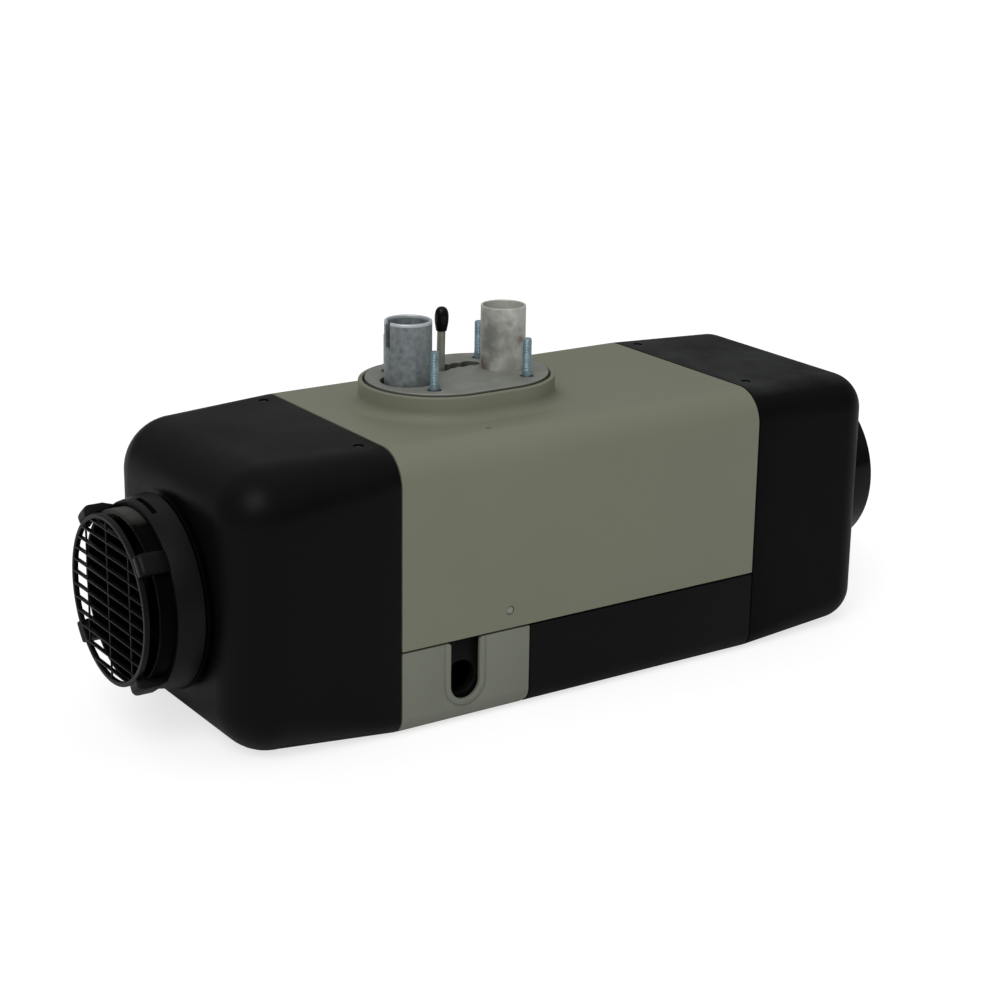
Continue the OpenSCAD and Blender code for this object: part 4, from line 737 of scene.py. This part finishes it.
air = stubShape["air"]
airStub = makeStub("airStub", air, place["airX"])
slitTop = air["high"] - air["slitDepth"] + air["slitW"] / 2
slitHigh = air["high"] + air["slitOver"]
slit = [(-air["slitW"] / 2, slitHigh), (air["slitW"] / 2, slitHigh)]
slit += [(air["slitW"] / 2 * math.cos(a), slitTop + air["slitW"] / 2 * math.sin(a))
         for a in (-math.pi * k / 12 for k in range(13))]
slitRings = [[(place["airX"] + x, y, z) for y, z in slit] for x in (-2 * air["r"], 0)]
slitVerts, slitFaces = skin(slitRings)
slitFaces += [tuple(range(len(slit))), tuple(range(2 * len(slit) - 1, len(slit) - 1, -1))]
cutAway(airStub, [makeMesh("cutter", slitVerts, slitFaces)])
finishPiece(airStub, "root", "castStub", ("air_stub",))
exhaustStub = makeStub("exhaustStub", stubShape["exhaust"], place["exhaustX"])
finishPiece(exhaustStub, "root", "blastedSteel", ("exhaust_stub",))

pipeShape = {"x": -30.9, "y": 12, "lean": 1.2, "r": 2.2, "bore": 1.3, "footIn": 0.05, "topIn": 0.04,
             "footEase": 0.1, "rimEase": 0.3, "boreEase": 0.2,
             "capLow": 20.5, "capHigh": 33.5, "capBore": 2.24, "capRoom": 0.35, "capIn": 0.03}
lean = math.radians(pipeShape["lean"])


def alongPipe(r, h, a):
    across, along = r * math.cos(a), h
    return Vector((pipeShape["x"] + across * math.cos(lean) + along * math.sin(lean),
                   pipeShape["y"] + r * math.sin(a),
                   place["flangeZ"] + along * math.cos(lean) - across * math.sin(lean)))


lowPipe, highPipe = (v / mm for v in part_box("fuel_pipe"))
p = pipeShape
pipeTop = (highPipe.z - place["flangeZ"]) - p["topIn"]
pipeFoot = (lowPipe.z - place["flangeZ"]) + p["footIn"]
fuelPipe = turned("fuelPipe", [
    (p["bore"], pipeFoot, p["footEase"]), (p["r"], pipeFoot, p["footEase"]),
    (p["r"], pipeTop, p["rimEase"]), (p["bore"], pipeTop, p["boreEase"])], alongPipe, 32, 3)
finishPiece(fuelPipe, "root", "fuelSteel", ("fuel_pipe",))
capTop = pipeTop + p["capRoom"]
# the cap's outline as radius and height above its rim
bulb = [(2.9, 0.1), (3.05, 1.2), (3.3, 2.6), (3.58, 4.2), (3.72, 5.8), (3.75, 7.2), (3.7, 8.6),
        (3.5, 9.9), (3.1, 11.1), (2.5, 12.05), (1.7, 12.65), (0.8, 12.93)]
pipeCap = turned("pipeCap", [
    (p["capBore"], p["capLow"] + bulb[0][1], p["footEase"]),
    *((r, p["capLow"] + h, p["rimEase"]) for r, h in bulb),
    (0, p["capHigh"] - p["capIn"], 0), (0, capTop, 0), (p["capBore"], capTop, p["boreEase"])],
    alongPipe, 48, 3, 50)
finishPiece(pipeCap, "pipe_cap", "capRubber", ("fuel_pipe_cap",))

# Outlet nozzle with a beaded rim
nozzleShape = {"r": 47.5, "wall": 2.5, "back": 5, "flange": 2.5, "step": 0.9, "rise": 1.5,
               "ease": 0.3, "stepEase": 0.2, "rimEase": 1.2}
s = nozzleShape
backX = place["endX"] - s["back"]
outletNozzle = turned("outletNozzle", [
    (s["r"] - s["wall"], backX, s["ease"]), (s["r"] + s["flange"], backX, s["ease"]),
    (s["r"] + s["flange"], place["endX"] - s["wall"], s["ease"]),
    (s["r"] - s["step"], place["endX"] - s["wall"], 0),
    (s["r"] - s["step"], place["endX"] + s["rise"], s["stepEase"]),
    (s["r"], place["endX"] + s["rise"], s["stepEase"]), (s["r"], place["nozzleX"], s["rimEase"]),
    (s["r"] - s["wall"], place["nozzleX"], s["rimEase"])],
    aboutShaft, 128, 5)
finishPiece(outletNozzle, "root", "nozzlePlastic", ("outlet_nozzle",))
print("stubs, pipe and nozzle made")


# Geometry Nodes helpers

def newTree(name, inputs):
    tree = bpy.data.node_groups.new(name, "GeometryNodeTree")
    sockets = {}
    for label, kind, value in inputs:
        socket = tree.interface.new_socket(label, in_out="INPUT", socket_type=kind)
        if value is not None:
            socket.default_value = value
        sockets[label] = socket
    tree.interface.new_socket("Geometry", in_out="OUTPUT", socket_type="NodeSocketGeometry")
    start = tree.nodes.new("NodeGroupInput")
    end = tree.nodes.new("NodeGroupOutput")
    return tree, start, end, sockets


def mathNode(tree, operation, a, b=None, c=None):
    node = tree.nodes.new("ShaderNodeMath")
    node.operation = operation
    for socket, value in zip(node.inputs, (a, b, c)):
        if value is None:
            continue
        if isinstance(value, (int, float)):
            socket.default_value = value
        else:
            tree.links.new(value, socket)
    return node.outputs[0]


def vectorOf(tree, x=0.0, y=0.0, z=0.0):
    node = tree.nodes.new("ShaderNodeCombineXYZ")
    for socket, value in zip(node.inputs, (x, y, z)):
        if isinstance(value, (int, float)):
            socket.default_value = value
        else:
            tree.links.new(value, socket)
    return node.outputs[0]


def growPiece(name, tree, sockets, values, finish, smooth=32):
    mesh = bpy.data.meshes.new(name)
    piece = bpy.data.objects.new(name, mesh)
    scene.collection.objects.link(piece)
    modifier = piece.modifiers.new("grow", "NODES")
    modifier.node_group = tree
    for label, value in values.items():
        modifier[sockets[label].identifier] = value
    modifier[sockets["Finish"].identifier] = materials[finish]
    return bake(piece, smooth)


# Grille: thin bars cut to the ring, three upright bars behind them
grilleShape = {"radius": 43, "rim": 2.4, "depth": 2.6, "bars": 12, "pitch": 6.65, "barW": 0.85,
               "barT": 2.3, "talls": 3, "tallPitch": 24.7, "tallW": 1.0, "tallT": 1.0,
               "front": 0.02, "tallFront": 0.37, "ease": 0.25, "rimEase": 0.5, "rimBackEase": 0.3}


def grilleTree():
    number, whole, geometry = "NodeSocketFloat", "NodeSocketInt", "NodeSocketGeometry"
    tree, start, end, sockets = newTree("grilleBars", [
        ("Bars", whole, 12), ("Pitch", number, 1.0), ("Width", number, 1.0),
        ("Thickness", number, 1.0), ("Reach", number, 1.0), ("Upright", "NodeSocketBool", False),
        ("Centre", "NodeSocketVector", None), ("Finish", "NodeSocketMaterial", None)])
    put = start.outputs
    line = tree.nodes.new("GeometryNodeMeshLine")
    line.mode = "OFFSET"
    tree.links.new(put["Bars"], line.inputs["Count"])
    tree.links.new(vectorOf(tree), line.inputs["Offset"])
    index = tree.nodes.new("GeometryNodeInputIndex").outputs[0]
    middle = mathNode(tree, "MULTIPLY", mathNode(tree, "SUBTRACT", put["Bars"], 1.0), 0.5)
    offset = mathNode(tree, "MULTIPLY", mathNode(tree, "SUBTRACT", index, middle), put["Pitch"])
    chord = mathNode(tree, "SQRT", mathNode(
        tree, "SUBTRACT", mathNode(tree, "MULTIPLY", put["Reach"], put["Reach"]),
        mathNode(tree, "MULTIPLY", offset, offset)))
    chord2 = mathNode(tree, "MULTIPLY", chord, 2.0)
    store = tree.nodes.new("GeometryNodeStoreNamedAttribute")
    store.inputs["Name"].default_value = "chord"
    tree.links.new(line.outputs[0], store.inputs["Geometry"])
    tree.links.new(chord2, store.inputs["Value"])
    shift = tree.nodes.new("GeometryNodeSetPosition")
    flat = vectorOf(tree, 0.0, 0.0, offset)
    stood = vectorOf(tree, 0.0, offset, 0.0)
    pick = tree.nodes.new("GeometryNodeSwitch")
    pick.input_type = "VECTOR"
    tree.links.new(put["Upright"], pick.inputs["Switch"])
    tree.links.new(flat, pick.inputs["False"])
    tree.links.new(stood, pick.inputs["True"])
    add = tree.nodes.new("ShaderNodeVectorMath")
    tree.links.new(pick.outputs[0], add.inputs[0])
    tree.links.new(put["Centre"], add.inputs[1])
    tree.links.new(store.outputs[0], shift.inputs["Geometry"])
    tree.links.new(add.outputs[0], shift.inputs["Position"])
    bar = tree.nodes.new("GeometryNodeMeshCube")
    tree.links.new(vectorOf(tree, put["Thickness"], 1.0, put["Width"]), bar.inputs["Size"])
    named = tree.nodes.new("GeometryNodeInputNamedAttribute")
    named.data_type = "FLOAT"
    named.inputs["Name"].default_value = "chord"
    turn = tree.nodes.new("GeometryNodeSwitch")
    turn.input_type = "VECTOR"
    tree.links.new(put["Upright"], turn.inputs["Switch"])
    turn.inputs["False"].default_value = (0, 0, 0)
    turn.inputs["True"].default_value = (math.pi / 2, 0, 0)
    spin = tree.nodes.new("FunctionNodeEulerToRotation")
    tree.links.new(turn.outputs[0], spin.inputs[0])
    placed = tree.nodes.new("GeometryNodeInstanceOnPoints")
    tree.links.new(shift.outputs[0], placed.inputs["Points"])
    tree.links.new(bar.outputs[0], placed.inputs["Instance"])
    tree.links.new(spin.outputs[0], placed.inputs["Rotation"])
    tree.links.new(vectorOf(tree, 1.0, named.outputs[0], 1.0), placed.inputs["Scale"])
    real = tree.nodes.new("GeometryNodeRealizeInstances")
    paint = tree.nodes.new("GeometryNodeSetMaterial")
    tree.links.new(placed.outputs[0], real.inputs[0])
    tree.links.new(real.outputs[0], paint.inputs["Geometry"])
    tree.links.new(put["Finish"], paint.inputs["Material"])
    tree.links.new(paint.outputs[0], end.inputs[0])
    return tree, sockets


g = grilleShape
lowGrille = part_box("guard_grille")[0] / mm
grille, grilleSockets = grilleTree()
reach = (g["radius"] - g["rim"] / 2) * mm
thinX = lowGrille.x + g["front"] + g["barT"] / 2
tallX = lowGrille.x + g["tallFront"] + g["tallT"] / 2
thinBars = growPiece("grilleThinBars", grille, grilleSockets, {
    "Bars": g["bars"], "Pitch": g["pitch"] * mm, "Width": g["barW"] * mm,
    "Thickness": g["barT"] * mm, "Reach": reach, "Upright": False,
    "Centre": (thinX * mm, 0.0, place["axisZ"] * mm)}, "guardPlastic")
tallBars = growPiece("grilleTallBars", grille, grilleSockets, {
    "Bars": g["talls"], "Pitch": g["tallPitch"] * mm, "Width": g["tallW"] * mm,
    "Thickness": g["tallT"] * mm, "Reach": reach, "Upright": True,
    "Centre": (tallX * mm, 0.0, place["axisZ"] * mm)}, "guardPlastic")
for bars in (thinBars, tallBars):
    m = bars.modifiers.new("ease", "BEVEL")
    m.width, m.segments = g["ease"] * mm, 2
    bake(bars)
    finishPiece(bars, "intake_guard", "guardPlastic")
grilleRim = turned("grilleRim", [
    (g["radius"] - g["rim"], lowGrille.x, g["rimEase"]), (g["radius"], lowGrille.x, g["rimEase"]),
    (g["radius"], lowGrille.x + g["depth"], g["rimBackEase"]),
    (g["radius"] - g["rim"], lowGrille.x + g["depth"], g["rimBackEase"])], aboutShaft, 128)
finishPiece(grilleRim, "intake_guard", "guardPlastic", ("guard_grille",))
print("grille made")

# Studs: a threaded rod grown from a grid, one instance on each corner of the pattern
studShape = {"r": 2.5, "pitch": 0.8, "depth": 0.42, "chamfer": 0.6, "plain": 2.6,
             "crest": 0.85, "slope": 0.6, "around": 32, "perTurn": 8,
             "x": -28.1, "pitchX": 57, "pitchY": 46}


def studTree():
    number, whole = "NodeSocketFloat", "NodeSocketInt"
    tree, start, end, sockets = newTree("threadedStuds", [
        ("Radius", number, 1.0), ("Pitch", number, 1.0), ("Depth", number, 1.0),
        ("Height", number, 1.0), ("Chamfer", number, 1.0), ("Plain", number, 1.0),
        ("Crest", number, 1.0), ("Slope", number, 1.0), ("Sides", whole, 32),
        ("Rows", whole, 160), ("Centre", "NodeSocketVector", None), ("Along", number, 1.0),
        ("Across", number, 1.0), ("Finish", "NodeSocketMaterial", None)])
    put = start.outputs
    rod = tree.nodes.new("GeometryNodeMeshCylinder")
    rod.fill_type = "TRIANGLE_FAN"
    tree.links.new(put["Sides"], rod.inputs["Vertices"])
    tree.links.new(put["Rows"], rod.inputs["Side Segments"])
    tree.links.new(put["Radius"], rod.inputs["Radius"])
    tree.links.new(put["Height"], rod.inputs["Depth"])
    position = tree.nodes.new("GeometryNodeInputPosition")
    split = tree.nodes.new("ShaderNodeSeparateXYZ")
    tree.links.new(position.outputs[0], split.inputs[0])
    x, y, z = split.outputs
    height = mathNode(tree, "ADD", z, mathNode(tree, "MULTIPLY", put["Height"], 0.5))
    turn = mathNode(tree, "DIVIDE", mathNode(tree, "ARCTAN2", y, x), 2 * math.pi)
    phase = mathNode(tree, "FRACT", mathNode(tree, "SUBTRACT", mathNode(
        tree, "DIVIDE", height, put["Pitch"]), turn))
    wave = mathNode(tree, "ABSOLUTE", mathNode(tree, "SUBTRACT", mathNode(
        tree, "MULTIPLY", phase, 2.0), 1.0))
    threaded = mathNode(tree, "GREATER_THAN", height, put["Plain"])
    cutDepth = mathNode(tree, "MULTIPLY", mathNode(tree, "MULTIPLY", mathNode(
        tree, "SMOOTH_MIN", wave, put["Crest"], 0.1), put["Depth"]), threaded)
    toTop = mathNode(tree, "SUBTRACT", put["Height"], height)
    slope = mathNode(tree, "MAXIMUM", mathNode(tree, "SUBTRACT", put["Chamfer"], toTop), 0.0)
    newR = mathNode(tree, "SUBTRACT", mathNode(tree, "SUBTRACT", put["Radius"], cutDepth),
                    mathNode(tree, "MULTIPLY", slope, put["Slope"]))
    share = mathNode(tree, "DIVIDE", newR, put["Radius"])
    away = mathNode(tree, "SQRT", mathNode(tree, "ADD", mathNode(tree, "MULTIPLY", x, x),
                                           mathNode(tree, "MULTIPLY", y, y)))
    onWall = mathNode(tree, "GREATER_THAN", away, mathNode(tree, "MULTIPLY", put["Radius"], 0.5))
    scaleBy = mathNode(tree, "ADD", mathNode(tree, "MULTIPLY", share, onWall),
                       mathNode(tree, "SUBTRACT", 1.0, onWall))
    move = tree.nodes.new("GeometryNodeSetPosition")
    tree.links.new(rod.outputs["Mesh"], move.inputs["Geometry"])
    tree.links.new(vectorOf(tree, mathNode(tree, "MULTIPLY", x, scaleBy),
                            mathNode(tree, "MULTIPLY", y, scaleBy), height), move.inputs["Position"])
    grid = tree.nodes.new("GeometryNodeMeshGrid")
    tree.links.new(put["Along"], grid.inputs["Size X"])
    tree.links.new(put["Across"], grid.inputs["Size Y"])
    grid.inputs["Vertices X"].default_value = 2
    grid.inputs["Vertices Y"].default_value = 2
    shift = tree.nodes.new("GeometryNodeTransform")
    tree.links.new(grid.outputs[0], shift.inputs["Geometry"])
    tree.links.new(put["Centre"], shift.inputs["Translation"])
    spread = tree.nodes.new("GeometryNodeInstanceOnPoints")
    tree.links.new(shift.outputs[0], spread.inputs["Points"])
    tree.links.new(move.outputs[0], spread.inputs["Instance"])
    real = tree.nodes.new("GeometryNodeRealizeInstances")
    paint = tree.nodes.new("GeometryNodeSetMaterial")
    tree.links.new(spread.outputs[0], real.inputs[0])
    tree.links.new(real.outputs[0], paint.inputs["Geometry"])
    tree.links.new(put["Finish"], paint.inputs["Material"])
    tree.links.new(paint.outputs[0], end.inputs[0])
    return tree, sockets


t = studShape
lowStud, highStud = (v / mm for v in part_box("flange_studs"))
studLength = highStud.z - lowStud.z
studs, studSockets = studTree()
flangeStuds = growPiece("flangeStuds", studs, studSockets, {
    "Radius": t["r"] * mm, "Pitch": t["pitch"] * mm, "Depth": t["depth"] * mm,
    "Height": studLength * mm, "Chamfer": t["chamfer"] * mm,
    "Plain": (place["flangeZ"] + t["plain"] - lowStud.z) * mm,
    "Crest": t["crest"], "Slope": t["slope"], "Sides": t["around"],
    "Rows": int(studLength / t["pitch"] * t["perTurn"]),
    "Centre": (t["x"] * mm, 0.0, lowStud.z * mm), "Along": t["pitchX"] * mm,
    "Across": t["pitchY"] * mm}, "zincSteel", 40)
finishPiece(flangeStuds, "root", "zincSteel", ("flange_studs",))
print("studs made")

# Floor and backdrop
floorShape = {"size": 30.0, "drop": 0.0002, "tone": 0.93, "glow": 1.2, "glowShare": 0.6}
floorMesh = bpy.data.meshes.new("floor")
f, low = floorShape["size"], -floorShape["drop"]
floorMesh.from_pydata([(-f, -f, low), (f, -f, low), (f, f, low), (-f, f, low)], [], [(0, 1, 2, 3)])
floor = bpy.data.objects.new("floor", floorMesh)
scene.collection.objects.link(floor)
floorPaint = bpy.data.materials.new("floorPaint")
floorPaint.use_nodes = True
tree = floorPaint.node_tree
shader = tree.nodes["Principled BSDF"]
shader.inputs["Base Color"].default_value = (floorShape["tone"],) * 3 + (1,)
shader.inputs["Roughness"].default_value = 1.0
shader.inputs["Specular IOR Level"].default_value = 0.0
glow = tree.nodes.new("ShaderNodeEmission")
glow.inputs["Strength"].default_value = floorShape["glow"]
rays = tree.nodes.new("ShaderNodeLightPath")
share = tree.nodes.new("ShaderNodeMath")
share.operation = "MULTIPLY"
share.inputs[1].default_value = floorShape["glowShare"]
tree.links.new(rays.outputs["Is Camera Ray"], share.inputs[0])
mixer = tree.nodes.new("ShaderNodeMixShader")
tree.links.new(share.outputs[0], mixer.inputs["Fac"])
tree.links.new(shader.outputs[0], mixer.inputs[1])
tree.links.new(glow.outputs[0], mixer.inputs[2])
tree.links.new(mixer.outputs[0], tree.nodes["Material Output"].inputs["Surface"])
floorMesh.materials.append(floorPaint)

# Studio: a sky that is dim at the horizon and bright overhead, white to the camera, and a soft sun
studio = {"horizon": 0.1, "zenith": 0.85, "below": 0.78, "sun": 1.35, "sunAngle": 34,
          "sunFrom": (-0.5, -0.46, 0.73)}
world = bpy.data.worlds.new("studio")
scene.world = world
world.use_nodes = True
tree = world.node_tree
tree.nodes.clear()
worldOutput = tree.nodes.new("ShaderNodeOutputWorld")
lit = tree.nodes.new("ShaderNodeBackground")
seen = tree.nodes.new("ShaderNodeBackground")
mixer = tree.nodes.new("ShaderNodeMixShader")
rays = tree.nodes.new("ShaderNodeLightPath")
toward = tree.nodes.new("ShaderNodeTexCoord")
axes = tree.nodes.new("ShaderNodeSeparateXYZ")
tree.links.new(toward.outputs["Generated"], axes.inputs[0])
rise = mapValue(tree, axes.outputs[2], 0.0, 1.0, studio["horizon"], studio["zenith"])
under = tree.nodes.new("ShaderNodeMath")
under.operation = "LESS_THAN"
under.inputs[1].default_value = 0.0
tree.links.new(axes.outputs[2], under.inputs[0])
level = tree.nodes.new("ShaderNodeMix")
level.data_type = "FLOAT"
tree.links.new(under.outputs[0], level.inputs["Factor"])
tree.links.new(rise, level.inputs[2])
level.inputs[3].default_value = studio["below"]
tree.links.new(level.outputs[0], lit.inputs["Strength"])
lit.inputs["Color"].default_value = (1, 1, 1, 1)
seen.inputs["Color"].default_value = (1, 1, 1, 1)
seen.inputs["Strength"].default_value = 1.0
either = tree.nodes.new("ShaderNodeMath")
either.operation = "MAXIMUM"
tree.links.new(rays.outputs["Is Camera Ray"], either.inputs[0])
tree.links.new(rays.outputs["Is Transmission Ray"], either.inputs[1])
tree.links.new(either.outputs[0], mixer.inputs["Fac"])
tree.links.new(lit.outputs[0], mixer.inputs[1])
tree.links.new(seen.outputs[0], mixer.inputs[2])
tree.links.new(mixer.outputs[0], worldOutput.inputs[0])

sunData = bpy.data.lights.new("softSun", "SUN")
sunData.energy, sunData.angle = studio["sun"], math.radians(studio["sunAngle"])
softSun = bpy.data.objects.new("softSun", sunData)
scene.collection.objects.link(softSun)
softSun.rotation_mode = "QUATERNION"
softSun.rotation_quaternion = (-Vector(studio["sunFrom"])).to_track_quat("-Z", "Y")
print("stage and lamps")

# Camera fitted to the photograph
cameraShape = {
    "spot": (-0.630715, -0.935188, 0.449798), "yaw": 34.447, "pitch": 17.168, "roll": 0.979,
    "lens": 78.70, "shiftX": -0.016412, "shiftY": -0.024682,
}
yaw, pitch, roll = (math.radians(cameraShape[k]) for k in ("yaw", "pitch", "roll"))
ahead = Vector((math.sin(yaw) * math.cos(pitch), math.cos(yaw) * math.cos(pitch), -math.sin(pitch)))
right = Vector((math.cos(yaw), -math.sin(yaw), 0))
up = right.cross(ahead)
rolledRight = right * math.cos(roll) + up * math.sin(roll)
rolledUp = up * math.cos(roll) - right * math.sin(roll)
camera = bpy.data.objects.new("camera", bpy.data.cameras.new("camera"))
scene.collection.objects.link(camera)
turnTo = Matrix((rolledRight, rolledUp, -ahead)).transposed().to_4x4()
camera.matrix_world = Matrix.Translation(cameraShape["spot"]) @ turnTo
camera.data.sensor_width = 36
camera.data.lens = cameraShape["lens"]
camera.data.shift_x = cameraShape["shiftX"]
camera.data.shift_y = cameraShape["shiftY"]
bpy.context.scene.camera = camera
scene.view_settings.view_transform = "Standard"
print("camera set")
